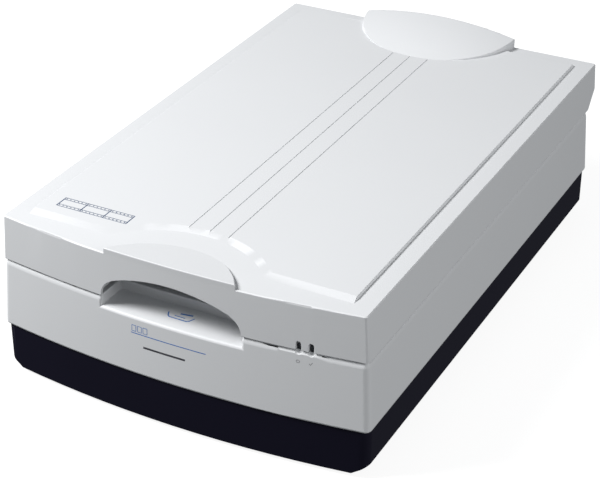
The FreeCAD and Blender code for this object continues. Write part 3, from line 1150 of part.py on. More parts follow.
def lid_shell():
    """Lid shell: drafted block, slanted rear, raised panel, grooves, arch, slots, room and bosses."""
    body = new_body("lid_shell")
    seam_plan = sketch_on(body, "lid_seam_plan", "XY_Plane", LID_BOTTOM)
    bowed(seam_plan, S.seam_width / 2, S.front_seam_line, S.rear_lid_line, S.front_bow, S.lid_corner)
    brow_plan = sketch_on(body, "lid_brow_plan", "XY_Plane", STRIP - S.lid_edge)
    bowed(brow_plan, S.lid_width / 2, S.front_lid_line, S.rear_lid_line, S.front_bow, S.lid_corner)
    top_plan = sketch_on(body, "lid_top_plan", "XY_Plane", STRIP)
    bowed(top_plan, S.lid_width / 2 - S.lid_edge, S.front_lid_line + S.lid_edge, S.rear_lid_line - S.lid_edge,
          S.front_bow, S.lid_corner - S.lid_edge)
    loft(body, "lid_block", seam_plan, brow_plan, top_plan)

    beyond = as_length(3)
    run = S.rear_lid_line - S.rear_seam_line
    slant = sketch_on(body, "rear_slant_section", "YZ_Plane", -S.seam_width)
    low, high = LID_BOTTOM - beyond, LID_BOTTOM + S.rear_slant_height + beyond * S.rear_slant_height / run
    outline(slant, ((S.rear_seam_line - beyond * run / S.rear_slant_height, low),
                    (S.rear_lid_line + beyond, low), (S.rear_lid_line + beyond, high)))
    pocket(body, "rear_slant", slant, 2 * S.seam_width, upwards=True)

    panel_foot = panel_sketch(body, "panel_foot_plan", STRIP - S.drop_in, 1)
    panel_top = panel_sketch(body, "panel_top_plan", PANEL, 0)
    loft(body, "raised_panel", panel_foot, panel_top)

    grooves = sketch_on(body, "grooves_plan", "XY_Plane", PANEL)
    for place_across in (-1, 0, 1):
        middle = place_across * S.stripe_pitch
        rectangle(grooves, (middle - S.stripe_width / 2, middle + S.stripe_width / 2),
                  (S.panel_front + S.scoop_depth - 4, S.dome_front + 2))
    pocket(body, "grooves", grooves, S.stripe_depth)

    lens = sketch_on(body, "platform_plan", "XY_Plane", STRIP - 1)
    share = S.platform_half * 2 / S.lid_width
    lens_front = front_at(S.platform_half, S.front_lid_line, S.lid_width / 2)
    lens_bow = S.front_bow * share * share
    front_radius = (S.platform_half * S.platform_half + lens_bow * lens_bow) / (2 * lens_bow)
    lens_depth = S.front_lid_line - S.front_bow + S.platform_depth - lens_front
    rear_radius = (S.platform_half * S.platform_half + lens_depth * lens_depth) / (2 * lens_depth)
    outline(lens, ((-S.platform_half, lens_front), (S.platform_half, lens_front)),
            {0: (0, lens_front - lens_bow + front_radius), 1: (0, lens_front + lens_depth - rear_radius)})
    pad(body, "platform", lens, S.platform_rise + 1)
    slope_half = S.platform_half + S.sliding_fit
    slope = sketch_on(body, "platform_slope_section", "YZ_Plane", -slope_half)
    tip = lens_front + lens_depth
    apex = S.front_lid_line - S.front_bow
    outline(slope, ((apex, STRIP + S.platform_rise), (tip, STRIP), (tip + 1, STRIP + S.platform_rise + 1),
                    (apex, STRIP + S.platform_rise + 1)))
    pocket(body, "platform_slope", slope, 2 * slope_half, upwards=True)

    half, front = S.lid_width / 2 - S.shell_wall, S.front_lid_line + S.shell_wall
    cellar = sketch_on(body, "lid_cellar_plan", "XY_Plane", LID_BOTTOM)
    bowed(cellar, half, front, S.rear_seam_line - S.shell_wall, S.front_bow)
    pocket(body, "lid_cellar", cellar, LID_SPLIT - LID_BOTTOM, upwards=True)
    room = sketch_on(body, "lid_room_plan", "XY_Plane", LID_SPLIT)
    bowed(room, half, front, S.rear_lid_line - S.shell_wall, S.front_bow)
    pocket(body, "lid_room", room, LID_CEILING - LID_SPLIT, upwards=True)
    hinge_notches(body, "lid_notches", LID_BOTTOM, S.rear_slant_height + 3)

    arch = sketch_on(body, "finger_arch_section", "XZ_Plane", -FRONT_CUT)
    corners, centres = arch_points()
    outline(arch, corners, centres)
    pocket(body, "finger_arch", arch, FRONT_CUT_DEPTH)
    slots = sketch_on(body, "light_slots_section", "XZ_Plane", -FRONT_CUT)
    slot_half = S.light_width / 2
    for x in LIGHT_SPOTS:
        shoulder = LID_BOTTOM + S.light_height - slot_half
        outline(slots, ((x - slot_half, LID_BOTTOM - 2), (x + slot_half, LID_BOTTOM - 2),
                        (x + slot_half, shoulder), (x - slot_half, shoulder)), {2: (x, shoulder)})
    pocket(body, "light_slots", slots, FRONT_CUT_DEPTH)

    bosses = sketch_on(body, "lid_bosses_plan", "XY_Plane", TRAY_TOP)
    pilots = sketch_on(body, "lid_pilots_plan", "XY_Plane", TRAY_TOP)
    for x, y in LID_SCREW_SPOTS:
        round_hole(bosses, x, y, S.boss_radius)
        round_hole(pilots, x, y, S.screw_radius)
    pad(body, "lid_bosses", bosses, LID_CEILING - TRAY_TOP + 1)
    pocket(body, "lid_pilots", pilots, S.screw_length, upwards=True)
    return body


def dome(name, shrink):
    """The rear hump: a round post under a large ball, cut off at the lid's rear."""
    centre = S.dome_front + S.dome_radius
    crown = PANEL + S.dome_rise + S.dome_crown * S.dome_crown / (2 * S.dome_ball)
    post = cylinder(name + "_post", "Z", (0, centre), (LID_CEILING - 1, PANEL + 2 * S.dome_rise),
                    S.dome_radius - shrink)
    ball = doc.addObject("Part::Sphere", name + "_ball")
    bind(ball, "Radius", S.dome_ball - shrink)
    place(ball, 0, S.rear_lid_line + S.dome_crown, crown - S.dome_ball)
    rear = block(name + "_rear", (-S.dome_radius, S.dome_radius),
                 (S.rear_lid_line - shrink, S.rear_lid_line + 2 * S.dome_radius),
                 (LID_CEILING - 2, PANEL + 3 * S.dome_rise))
    return cut(name, common(name + "_cap", post, ball), rear)


def lid_cover():
    joined = fuse("lid_cover_solid", lid_shell(), dome("hump", as_length(0)))
    return cut("lid_cover", joined, dome("hump_room", S.shell_wall))


def lid_tray():
    """Inner tray: adapter window, finger pocket, rod supports, idler stud and motor bracket."""
    body = new_body("lid_tray")
    gap = S.sliding_fit * 2
    half = S.lid_width / 2 - S.shell_wall - gap
    front = S.front_lid_line + S.shell_wall + gap
    plan = sketch_on(body, "tray_plan", "XY_Plane", S.tray_bottom)
    bowed(plan, half, front, S.rear_seam_line - S.shell_wall - gap, S.front_bow)
    pad(body, "tray_plate", plan, S.tray_thickness)
    liner_top = LID_BOTTOM + S.grip_height + S.liner_wall + 1
    liner_half = S.grip_half + S.liner_wall
    share = liner_half / half
    liner = sketch_on(body, "liner_plan", "XY_Plane", S.tray_bottom)
    bowed(liner, liner_half, front_at(liner_half, front, half) + S.drop_in, GRIP_REAR + S.liner_wall,
          S.front_bow * share * share)
    pad(body, "liner_block", liner, liner_top - S.tray_bottom)
    pocket_plan = sketch_on(body, "liner_room_plan", "XY_Plane", S.tray_bottom)
    rectangle(pocket_plan, (-S.grip_half, S.grip_half), (FRONT_CUT, GRIP_REAR))
    pocket(body, "liner_room", pocket_plan, liner_top - S.liner_wall - S.tray_bottom, upwards=True)
    window = sketch_on(body, "window_plan", "XY_Plane", S.tray_bottom)
    rectangle(window, (-S.window_half, S.window_half), (S.window_front, S.window_rear))
    pocket(body, "window", window, S.tray_thickness, upwards=True)
    hinge_notches(body, "tray_notches", S.tray_bottom, S.tray_thickness)

    support_half, support_depth, support_top = 6, 6, S.film_rod_height + S.film_rod_radius + 3
    supports = sketch_on(body, "rod_supports_plan", "XY_Plane", TRAY_TOP)
    for along in FILM_ROD_ENDS:
        rectangle(supports, (S.film_rod_across - support_half, S.film_rod_across + support_half),
                  (along - support_depth / 2, along + support_depth / 2))
    pad(body, "rod_supports", supports, support_top - TRAY_TOP)
    rod_bores = sketch_on(body, "rod_supports_bore_plan", "XZ_Plane", support_depth - FILM_ROD_ENDS[0])
    round_hole(rod_bores, S.film_rod_across, S.film_rod_height, S.film_rod_radius)
    pocket(body, "rod_supports_bore", rod_bores, FILM_ROD_ENDS[1] - FILM_ROD_ENDS[0] + 2 * support_depth)

    stud = sketch_on(body, "film_stud_plan", "XY_Plane", TRAY_TOP)
    round_hole(stud, S.film_belt_across, S.film_belt_front, S.stud_radius)
    pad(body, "film_stud", stud, S.film_belt_bottom + S.belt_width + 3 - TRAY_TOP)
    bracket_half, bracket_leg = S.motor_radius + 4.5, 2
    along = (S.film_belt_rear - S.motor_radius, S.film_belt_rear + 12)
    legs = sketch_on(body, "film_legs_plan", "XY_Plane", TRAY_TOP)
    for side in (-1, 1):
        edge = S.film_belt_across + side * bracket_half
        rectangle(legs, (edge, edge - side * bracket_leg), along)
    pad(body, "film_legs", legs, FILM_BRACKET - TRAY_TOP)
    shelf = sketch_on(body, "film_shelf_plan", "XY_Plane", FILM_BRACKET)
    rectangle(shelf, (S.film_belt_across - bracket_half, S.film_belt_across + bracket_half), along)
    round_hole(shelf, S.film_belt_across, S.film_belt_rear, S.pulley_radius / 2)
    pad(body, "film_shelf", shelf, BRACKET_SHEET)
    holes = sketch_on(body, "tray_screw_plan", "XY_Plane", S.tray_bottom)
    for x, y in LID_SCREW_SPOTS:
        round_hole(holes, x, y, S.screw_radius + S.drop_in)
    pocket(body, "tray_screw_holes", holes, S.tray_thickness, upwards=True)
    return body




def lid_fittings():
    lap = S.window_lap
    pane = block("adapter_window", (-S.window_half - lap, S.window_half + lap),
                 (S.window_front - lap, S.window_rear + lap), (TRAY_TOP, TRAY_TOP + S.window_thickness))
    mat = block("white_mat", (-S.window_half - 2, S.window_half + 2),
                (S.window_front - lap, S.window_rear + lap), (S.tray_bottom - S.mat_thickness, S.tray_bottom))
    rod = cylinder("adapter_rod", "Y", (S.film_rod_across, S.film_rod_height),
                   (FILM_ROD_ENDS[0] - 3, FILM_ROD_ENDS[1] + 3), S.film_rod_radius)
    screws = [screw("lid_screw_%d" % index, x, y, S.tray_bottom, S.tray_thickness + S.screw_length - 3)
              for index, (x, y) in enumerate(LID_SCREW_SPOTS)]
    return [pane, mat, rod, group("lid_screws", *screws)]


def film_adapter():
    """Lamp head on its rod, and the motor, pulleys and belt that pull it."""
    across, rear, bottom = S.film_belt_across, S.film_belt_rear, S.film_belt_bottom
    motor_bottom = FILM_BRACKET + BRACKET_SHEET
    motor = cylinder("adapter_motor", "Z", (across, rear), (motor_bottom, motor_bottom + S.film_motor_height),
                     S.motor_radius)
    puller = new_body("adapter_pulley")
    rim(puller, "adapter", bottom, S.belt_width)
    disc(puller, "adapter_shaft", (bottom + S.belt_width + 2, motor_bottom - S.running_fit), S.motor_shaft)
    place(puller, across, rear, 0)
    idler = new_body("adapter_idler")
    rim(idler, "adapter_idler", bottom, S.belt_width)
    bore(idler, "adapter_idler_bore", (bottom - 3, bottom + S.belt_width + 3), S.stud_radius + S.running_fit)
    place(idler, across, S.film_belt_front, 0)
    loop = belt("adapter_belt", across, (S.film_belt_front, rear), bottom, S.belt_width)

    half = S.head_half - 2
    front, head_rear = S.film_head_front, S.film_head_front + S.film_head_depth
    wall = 2.5
    collar = S.film_rod_across + S.film_rod_radius + 5
    strand = across - STRAND
    slot_half = S.belt_thickness / 2 + 0.4
    grip = (front + 8, front + 22)
    solid = fuse("adapter_head_solid",
                 block("adapter_head_block", (-half, half), (front, head_rear),
                       (S.film_head_bottom, S.film_head_top)),
                 block("adapter_clamp", (strand - 4, strand + 4), grip,
                       (S.film_head_top - 1, bottom + S.belt_width + 2)))
    frame = cut("adapter_head", solid,
                block("adapter_head_room", (collar, half - wall), (front + wall, head_rear - wall),
                      (S.film_head_bottom - 1, S.film_head_top - wall)),
                cylinder("adapter_head_bore", "Y", (S.film_rod_across, S.film_rod_height), (front, head_rear),
                         S.film_rod_radius + S.running_fit),
                block("adapter_clamp_slot", (strand - slot_half, strand + slot_half),
                      (grip[0] - 1, grip[1] + 1), (bottom - 0.4, bottom + S.belt_width + 3)))
    lamp = cylinder("adapter_lamp", "X", (SCAN_LINE, S.film_head_bottom + 5), (collar, half - wall), 3)
    return [motor, puller, idler, loop, frame, lamp]


# ---------------------------------------------------------------- building and writing

def check(thing):
    """Stops the build when an object failed or its shape is empty or broken."""
    if "Invalid" in thing.State or "Error" in thing.State:
        raise RuntimeError("%s failed: %s" % (thing.Name, thing.State))


pieces = [lower_housing(), upper_housing(), *feet(), *case_screws(), *platen(), *guides(), head_frame(),
          *head_optics(), *head_running_gear(), *drive(), *electronics(), *power_switch(), *indicators(),
          *transport_lock(), *hinges(), lid_cover(), lid_tray(), *lid_fittings(), *film_adapter()]
doc.recompute()

for thing in doc.Objects:
    check(thing)
os.makedirs("parts", exist_ok=True)
for piece in pieces:
    shape = piece.Shape
    if shape.isNull() or not shape.isValid() or not shape.Solids:
        raise RuntimeError("%s has no valid solid" % piece.Label)
for piece in pieces:
    piece.Shape.exportStep(os.path.join("parts", piece.Label + ".step"))
print("%d nodes" % len(pieces))
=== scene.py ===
import math

import bmesh
import bpy
import numpy as np
from mathutils import Matrix, Vector
from mathutils.bvhtree import BVHTree


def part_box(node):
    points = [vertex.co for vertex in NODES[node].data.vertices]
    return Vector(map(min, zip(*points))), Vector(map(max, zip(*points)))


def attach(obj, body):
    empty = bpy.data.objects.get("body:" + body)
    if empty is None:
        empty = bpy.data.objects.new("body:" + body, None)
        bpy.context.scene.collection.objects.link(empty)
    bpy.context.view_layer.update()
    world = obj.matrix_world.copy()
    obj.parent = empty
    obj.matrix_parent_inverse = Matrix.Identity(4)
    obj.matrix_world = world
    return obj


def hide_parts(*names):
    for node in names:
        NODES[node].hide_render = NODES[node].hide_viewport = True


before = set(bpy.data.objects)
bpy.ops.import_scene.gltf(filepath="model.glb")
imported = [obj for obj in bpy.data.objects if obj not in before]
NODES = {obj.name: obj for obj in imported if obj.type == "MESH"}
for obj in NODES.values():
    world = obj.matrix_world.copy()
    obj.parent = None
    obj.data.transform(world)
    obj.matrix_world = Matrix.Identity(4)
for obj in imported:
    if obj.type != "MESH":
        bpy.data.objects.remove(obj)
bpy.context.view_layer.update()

# Flatbed scanner with a film adapter in its lid.  Metres, +Z up, +Y to the rear, +X to the right of
# someone facing the front.  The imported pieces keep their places; this file gives them their finishes,
# rounds the moulded shells, and adds the prints, the toothed belts, the foam mat and the screws.

MM = 0.001


def corners(node):
    """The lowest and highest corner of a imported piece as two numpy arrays."""
    low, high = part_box(node)
    return np.array(low), np.array(high)


# ---------------------------------------------------------------- camera, light and floor

def add_camera():
    """A long lens in front of the right corner, looking down at the lid."""
    azimuth, elevation, roll = (math.radians(angle) for angle in (27.57, 30.22, 0.13))
    camera = bpy.data.objects.new("camera", bpy.data.cameras.new("camera"))
    camera.data.lens = 101.64
    camera.data.sensor_width = 36
    camera.data.clip_start = 0.05
    back = Vector((math.sin(azimuth) * math.cos(elevation), -math.cos(azimuth) * math.cos(elevation),
                   math.sin(elevation)))
    turn = back.to_track_quat("Z", "Y").to_matrix() @ Matrix.Rotation(roll, 3, "Z")
    camera.matrix_world = Matrix.Translation((0.688, -1.362, 0.938)) @ turn.to_4x4()
    bpy.context.collection.objects.link(camera)
    bpy.context.scene.camera = camera


def add_softbox(name, place, size, watts):
    """A square area light at place that faces the middle of the scanner."""
    light = bpy.data.lights.new(name, "AREA")
    light.size = size
    light.energy = watts
    lamp = bpy.data.objects.new(name, light)
    lamp.location = place
    lamp.rotation_mode = "QUATERNION"
    lamp.rotation_quaternion = (Vector(place) - Vector((0, 0, 0.1))).to_track_quat("Z", "Y")
    bpy.context.collection.objects.link(lamp)


def add_surroundings():
    """A key at the front left, a fill at the right, a dim sky, and a bright floor that lights nothing."""
    add_softbox("key", (-1.55, -1.1, 2.1), 1.0, 102)
    add_softbox("fill", (2.7, -0.6, 0.9), 1.6, 31)
    world = bpy.data.worlds.new("studio")
    world.use_nodes = True
    world.node_tree.nodes["Background"].inputs["Color"].default_value = (0.93, 0.97, 1.0, 1)
    world.node_tree.nodes["Background"].inputs["Strength"].default_value = 0.18
    bpy.context.scene.world = world
    bpy.context.scene.view_settings.view_transform = "Standard"

    half, level = 14.0, -0.5 * MM
    x, y = np.meshgrid((-half, half), (-half, half))
    floor = surface("studio_floor", x, y, np.full((2, 2), level))
    floor.visible_diffuse = floor.visible_glossy = False
    paint = Paint("studio_floor", (0.22, 0.22, 0.22), 0.9, Emission_Color=(1, 1, 1, 1),
                  Emission_Strength=0.9)
    cloud = paint.node("ShaderNodeTexNoise", {}, {"Vector": paint.place(), "Scale": 0.6})
    paint.put("Roughness", 0.86 + cloud * 0.08)
    floor.data.materials.append(paint.material)


# ---------------------------------------------------------------- how meshes are made

def surface(name, x, y, z, around=False, along=False):
    """A mesh on a grid of rows and columns, whose points are given as three whole arrays.  around joins
    the last column to the first, and along joins the last row to the first."""
    rows, columns = x.shape
    points = np.stack((x, y, z), axis=-1).reshape(-1, 3)
    down = np.arange(rows if along else rows - 1)[:, None]
    over = np.arange(columns if around else columns - 1)[None, :]
    next_down, next_over = (down + 1) % rows, (over + 1) % columns
    faces = np.stack((down * columns + over, down * columns + next_over,
                      next_down * columns + next_over, next_down * columns + over), axis=-1).reshape(-1, 4)
    mesh = bpy.data.meshes.new(name)
    mesh.from_pydata(points.tolist(), [], faces.tolist())
    thing = bpy.data.objects.new(name, mesh)
    bpy.context.collection.objects.link(thing)
    return thing


def closed(thing, smooth_angle=30):
    """Caps open ends, welds doubles, turns the faces outwards and smooths all but the sharp edges."""
    work = bmesh.new()
    work.from_mesh(thing.data)
    bmesh.ops.remove_doubles(work, verts=work.verts, dist=1e-7)
    rims = [edge for edge in work.edges if edge.is_boundary]
    if rims:
        bmesh.ops.holes_fill(work, edges=rims, sides=0)
    bmesh.ops.recalc_face_normals(work, faces=work.faces)
    work.to_mesh(thing.data)
    work.free()
    thing.data.polygons.foreach_set("use_smooth", np.ones(len(thing.data.polygons), bool))
    thing.data.set_sharp_from_angle(angle=math.radians(smooth_angle))
    return thing


def joined(name, things):
    """Several meshes as one object."""
    work = bmesh.new()
    for thing in things:
        work.from_mesh(thing.data)
    mesh = bpy.data.meshes.new(name)
    work.to_mesh(mesh)
    work.free()
    for thing in things:
        bpy.data.objects.remove(thing)
    whole = bpy.data.objects.new(name, mesh)
    bpy.context.collection.objects.link(whole)
    return whole


def outer_points(work):
    """The numbers of a mesh's points that lie on its convex hull."""
    hull = work.copy()
    made = bmesh.ops.convex_hull(hull, input=hull.verts)
    inner = {item.co.to_tuple(6) for item in made["geom_interior"]
             if isinstance(item, bmesh.types.BMVert)}
    hull.free()
    return {point.index for point in work.verts if point.co.to_tuple(6) not in inner}


WELD = 2e-6
FLAT_TURN, FACE_TURN, SHARP_TURN = (math.radians(angle) for angle in (0.25, 5, 25))
WHOLE_FACE = 3 * MM
LOW_BAND = 2 * MM
INDICATOR_STRETCH = (119 * MM, 146 * MM)


def rounded_shell(node, name, edge, broad):
    """A moulded copy of a packed shell: its triangles are welded, flat ones are joined to whole faces,
    and every long edge sharper than 25 degrees gets a round of the given width.  When the broad width is
    larger, the outermost edges get it, apart from the lowest ones and those beside the indicators.
    Between two faces wider than 3 mm, an edge stays sharp from 5 degrees on."""
    thing = bpy.data.objects.new(name, NODES[node].data.copy())
    bpy.context.collection.objects.link(thing)
    thing.data.materials.clear()
    work = bmesh.new()
    work.from_mesh(thing.data)
    bmesh.ops.remove_doubles(work, verts=work.verts, dist=WELD)
    bmesh.ops.dissolve_limit(work, angle_limit=FLAT_TURN, verts=work.verts, edges=work.edges)
    weight = work.edges.layers.float.new("bevel_weight_edge")
    work.verts.index_update()
    outer = outer_points(work) if broad > edge else set()
    low = min(point.co.z for point in work.verts) + LOW_BAND
    for rim in work.edges:
        if len(rim.link_faces) != 2:
            continue
        turn = rim.calc_face_angle(0)
        across = min(face.calc_area() / max(side.calc_length() for side in face.edges)
                     for face in rim.link_faces)
        if turn > SHARP_TURN:
            middle = (rim.verts[0].co + rim.verts[1].co) / 2
            outside = all(point.index in outer for point in rim.verts) and middle.z > low
            if outside and not INDICATOR_STRETCH[0] < middle.x < INDICATOR_STRETCH[1]:
                rim[weight] = 1.0
            elif across > 1.6 * edge and rim.calc_length() > edge / 2:
                rim[weight] = edge / broad
        rim.smooth = turn < (FACE_TURN if across > WHOLE_FACE else SHARP_TURN)
    work.to_mesh(thing.data)
    work.free()
    thing.data.polygons.foreach_set("use_smooth", np.ones(len(thing.data.polygons), bool))
    bevel = thing.modifiers.new("moulded_edge", "BEVEL")
    bevel.limit_method = "WEIGHT"
    bevel.width = broad
    bevel.segments = 3
    bevel.use_clamp_overlap = False
    normals = thing.modifiers.new("face_normals", "WEIGHTED_NORMAL")
    normals.keep_sharp = True
    normals.weight = 100
    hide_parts(node)
    return thing


# ---------------------------------------------------------------- how finishes are painted

class Signal:
    """One output of a material's nodes.  Arithmetic on it adds Math nodes."""

    def __init__(self, paint, output):
        self.paint = paint
        self.output = output

    def combined(self, operation, first, second):
        return self.paint.node("ShaderNodeMath", {"operation": operation}, {0: first, 1: second})

    def __add__(self, other):
        return self.combined("ADD", self, other)

    def __radd__(self, other):
        return self.combined("ADD", other, self)

    def __rsub__(self, other):
        return self.combined("SUBTRACT", other, self)

    def __mul__(self, other):
        return self.combined("MULTIPLY", self, other)

    def __gt__(self, other):
        return self.combined("GREATER_THAN", self, other)


class Paint:
    """A finish: one Principled shader with constant inputs, and the nodes that vary a few of them."""

    def __init__(self, name, colour, roughness, metallic=0.0, **constants):
        self.material = bpy.data.materials.new(name)
        self.material.use_nodes = True
        self.tree = self.material.node_tree
        self.shader = self.tree.nodes["Principled BSDF"]
        self.colour = tuple(colour) + (1.0,)
        self.put("Base Color", self.colour)
        self.put("Roughness", roughness)
        self.put("Metallic", metallic)
        for key, value in constants.items():
            self.put(key.replace("_", " "), value)

    def node(self, kind, settings, inputs, output=0):
        made = self.tree.nodes.new(kind)
        for key, value in settings.items():
            setattr(made, key, value)
        for key, value in inputs.items():
            self.feed(made.inputs[key], value)
        return Signal(self, made.outputs[output])

    def feed(self, entry, value):
        if isinstance(value, Signal):
            self.tree.links.new(value.output, entry)
        else:
            entry.default_value = value

    def put(self, key, value):
        self.feed(self.shader.inputs[key], value)

    def place(self, stretch=(1, 1, 1)):
        """The point on the piece, in metres, scaled by stretch along each axis."""
        point = self.node("ShaderNodeTexCoord", {}, {}, "Object")
        return self.node("ShaderNodeMapping", {}, {"Vector": point, "Scale": stretch})

    def noise(self, size, stretch=(1, 1, 1), detail=2.0):
        """A cloudy value round 0.5 whose blobs measure about size metres."""
        return self.node("ShaderNodeTexNoise", {}, {"Vector": self.place(stretch), "Scale": 1 / size,
                                                    "Detail": detail})

    def relief(self, height, depth):
        """Bump whose full height is depth metres."""
        self.put("Normal", self.node("ShaderNodeBump", {},
                                     {"Height": height, "Distance": depth, "Strength": 1.0}))

    def mixed(self, factor, first, second):
        """The first colour where factor is 0 and the second where it is 1.  Sockets 6 and 7 of the Mix
        node are its two colours, and its third output is the mixed one."""
        return self.node("ShaderNodeMix", {"data_type": "RGBA"}, {"Factor": factor, 6: first, 7: second}, 2)

    def tinted(self, factor, other):
        """The base colour, mixed with another one where factor is 1."""
        self.put("Base Color", self.mixed(factor, self.colour, tuple(other) + (1.0,)))


def shade(colour, amount):
    return tuple(channel * amount for channel in colour)


GRAIN, SCRATCH = 0.35 * MM, 0.6 * MM


def grained_plastic(name, colour, roughness, depth=0.00003, drift=0.94, sheen=0.4):
    """Moulded plastic: fine spark-eroded grain, slow drift of colour, and sheen that varies with handling."""
    paint = Paint(name, colour, roughness, Specular_IOR_Level=sheen)
    fine = paint.noise(GRAIN, detail=3.0)
    slow = paint.noise(0.12)
    paint.tinted(slow * 0.55 + fine * 0.25, shade(colour, drift))
    paint.put("Roughness", roughness - 0.05 + slow * 0.07 + fine * 0.05)
    paint.relief(fine, depth)
    return paint.material


def smooth_plastic(name, colour, roughness):
    """Gloss-moulded plastic: faint flow marks and tiny dust specks."""
    paint = Paint(name, colour, roughness, Specular_IOR_Level=0.5)
    flow = paint.noise(0.02, (1, 0.25, 1))
    dust = paint.noise(0.0011, detail=0.0) > 0.76
    paint.tinted(dust * 0.25, shade(colour, 1.6))
    paint.put("Roughness", roughness + flow * 0.08 + dust * 0.2)
    paint.relief(flow, 0.00002)
    return paint.material


def metal(name, colour, roughness, stretch):
    """Worked metal: fine lines drawn out along one axis, over cloudy tarnish."""
    paint = Paint(name, colour, roughness, 1.0)
    lines = paint.noise(SCRATCH, stretch, 4.0)
    tarnish = paint.noise(0.015)
    paint.tinted(tarnish * 0.5, shade(colour, 0.72))
    paint.put("Roughness", roughness - 0.06 + lines * 0.14 + tarnish * 0.06)
    paint.relief(lines, 0.00001)
    return paint.material


def zinc_sheet(name):
    """Galvanised sheet: angular spangles of slightly different grey."""
    paint = Paint(name, (0.55, 0.56, 0.57), 0.42, 1.0)
    spangle = paint.node("ShaderNodeTexVoronoi", {}, {"Vector": paint.place(), "Scale": 190.0}, "Color")
    paint.put("Base Color", paint.mixed(0.16, paint.colour, spangle))
    paint.put("Roughness", 0.34 + paint.noise(0.006) * 0.16)
    return paint.material


def rubber(name):
    """Matt rubber with a dusty bloom."""
    paint = Paint(name, (0.022, 0.022, 0.024), 0.82, Specular_IOR_Level=0.3)
    bloom = paint.noise(0.004, detail=4.0)
    paint.tinted(bloom * 0.5, (0.07, 0.07, 0.072))
    paint.relief(paint.noise(0.0004), 0.00005)
    return paint.material


def foam(name):
    """White foam face: small open pores over a soft pile."""
    paint = Paint(name, (0.90, 0.90, 0.885), 0.9, Sheen_Weight=0.15, Specular_IOR_Level=0.2)
    pores = paint.node("ShaderNodeTexVoronoi", {}, {"Vector": paint.place(), "Scale": 900.0}, "Distance")
    paint.tinted(paint.noise(0.05) * 0.5, (0.83, 0.83, 0.80))
    paint.relief(pores, 0.00012)
    return paint.material


def clear_glass(name):
    """Float glass seen as a thin clear sheet with a green tinge and a few wiped streaks."""
    paint = Paint(name, (0.26, 0.38, 0.34), 0.02, Alpha=0.2, Specular_IOR_Level=0.9)
    paint.put("Roughness", 0.015 + paint.noise(0.03, (0.3, 1, 1)) * 0.03)
    return paint.material


def opal(name):
    """Opal diffuser sheet."""
    paint = Paint(name, (0.88, 0.89, 0.89), 0.3, Subsurface_Weight=0.2)
    paint.put("Roughness", 0.26 + paint.noise(0.01) * 0.1)
    paint.relief(paint.noise(0.002), 0.00002)
    return paint.material


def mirror_glass(name):
    """Front-silvered glass."""
    paint = Paint(name, (0.86, 0.88, 0.90), 0.02, 1.0)
    paint.put("Roughness", 0.01 + paint.noise(0.02) * 0.03)
    return paint.material


def lamp_tube(name):
    """Phosphor-coated tube, off."""
    paint = Paint(name, (0.90, 0.91, 0.92), 0.12, Coat_Weight=0.6)
    paint.tinted(paint.noise(0.004) * 0.4, (0.84, 0.85, 0.88))
    return paint.material


def circuit_board(name):
    """Green solder mask over copper runs at right angles, with tinned pads."""
    paint = Paint(name, (0.012, 0.13, 0.055), 0.35, Coat_Weight=0.4)
    runs = paint.node("ShaderNodeTexBrick", {"offset": 0.35, "squash": 0.7},
                      {"Vector": paint.place(), "Scale": 90.0, "Mortar Size": 0.09, "Mortar Smooth": 0.1},
                      "Fac")
    pads = paint.node("ShaderNodeTexVoronoi", {},
                      {"Vector": paint.place(), "Scale": 260.0, "Randomness": 0.25}, "Distance")
    tinned = 1 - (pads > 0.16)
    green = paint.mixed(runs, paint.colour, (0.03, 0.24, 0.10, 1))
    paint.put("Base Color", paint.mixed(tinned * 0.8, green, (0.62, 0.62, 0.60, 1)))
    paint.put("Metallic", tinned * 0.8)
    paint.relief(runs, 0.00004)
    return paint.material


def print_ink(name, colour):
    """Pad-printed ink: slightly uneven edge to edge."""
    paint = Paint(name, colour, 0.45)
    paint.tinted(paint.noise(0.0012) * 0.5, shade(colour, 1.25))
    return paint.material


SHELL_GREY = (0.69, 0.70, 0.715)
FINISHES = {
    "shell": grained_plastic("shell_plastic", SHELL_GREY, 0.5),
    "tub": grained_plastic("tub_plastic", (0.006, 0.0055, 0.013), 0.5, depth=0.00004, drift=1.5,
                           sheen=0.08),
    "grey": grained_plastic("grey_plastic", (0.30, 0.32, 0.34), 0.5),
    "tray": grained_plastic("tray_plastic", (0.66, 0.67, 0.68), 0.55),
    "black": grained_plastic("black_plastic", (0.016, 0.016, 0.018), 0.45, drift=1.6),
    "gloss_black": smooth_plastic("gloss_black_plastic", (0.012, 0.012, 0.014), 0.18),
    "acetal": smooth_plastic("acetal", (0.80, 0.79, 0.74), 0.35),
    "chip": smooth_plastic("chip_plastic", (0.015, 0.015, 0.016), 0.4),
    "pipe": smooth_plastic("light_pipe", (0.045, 0.05, 0.06), 0.12),
    "steel_y": metal("ground_steel", (0.66, 0.67, 0.68), 0.22, (1, 0.05, 1)),
    "steel": metal("bright_steel", (0.62, 0.63, 0.64), 0.3, (1, 1, 0.1)),
    "can": metal("motor_can", (0.42, 0.43, 0.44), 0.36, (1, 1, 0.08)),
    "brass": metal("bearing_metal", (0.72, 0.53, 0.24), 0.28, (1, 0.1, 1)),
    "zinc": zinc_sheet("zinc_sheet"),
    "rubber": rubber("rubber"),
    "foam": foam("white_foam"),
    "strip": grained_plastic("white_strip", (0.90, 0.90, 0.885), 0.8, drift=0.97),
    "glass": clear_glass("platen_glass"),
    "opal": opal("diffuser"),
    "mirror": mirror_glass("mirror"),
    "lamp": lamp_tube("lamp_glass"),
    "board": circuit_board("circuit_board"),
    "blue_ink": print_ink("blue_ink", (0.02, 0.13, 0.42)),
    "slate_ink": print_ink("slate_ink", (0.05, 0.08, 0.15)),
    "dark_ink": print_ink("dark_ink", (0.05, 0.05, 0.06)),
}

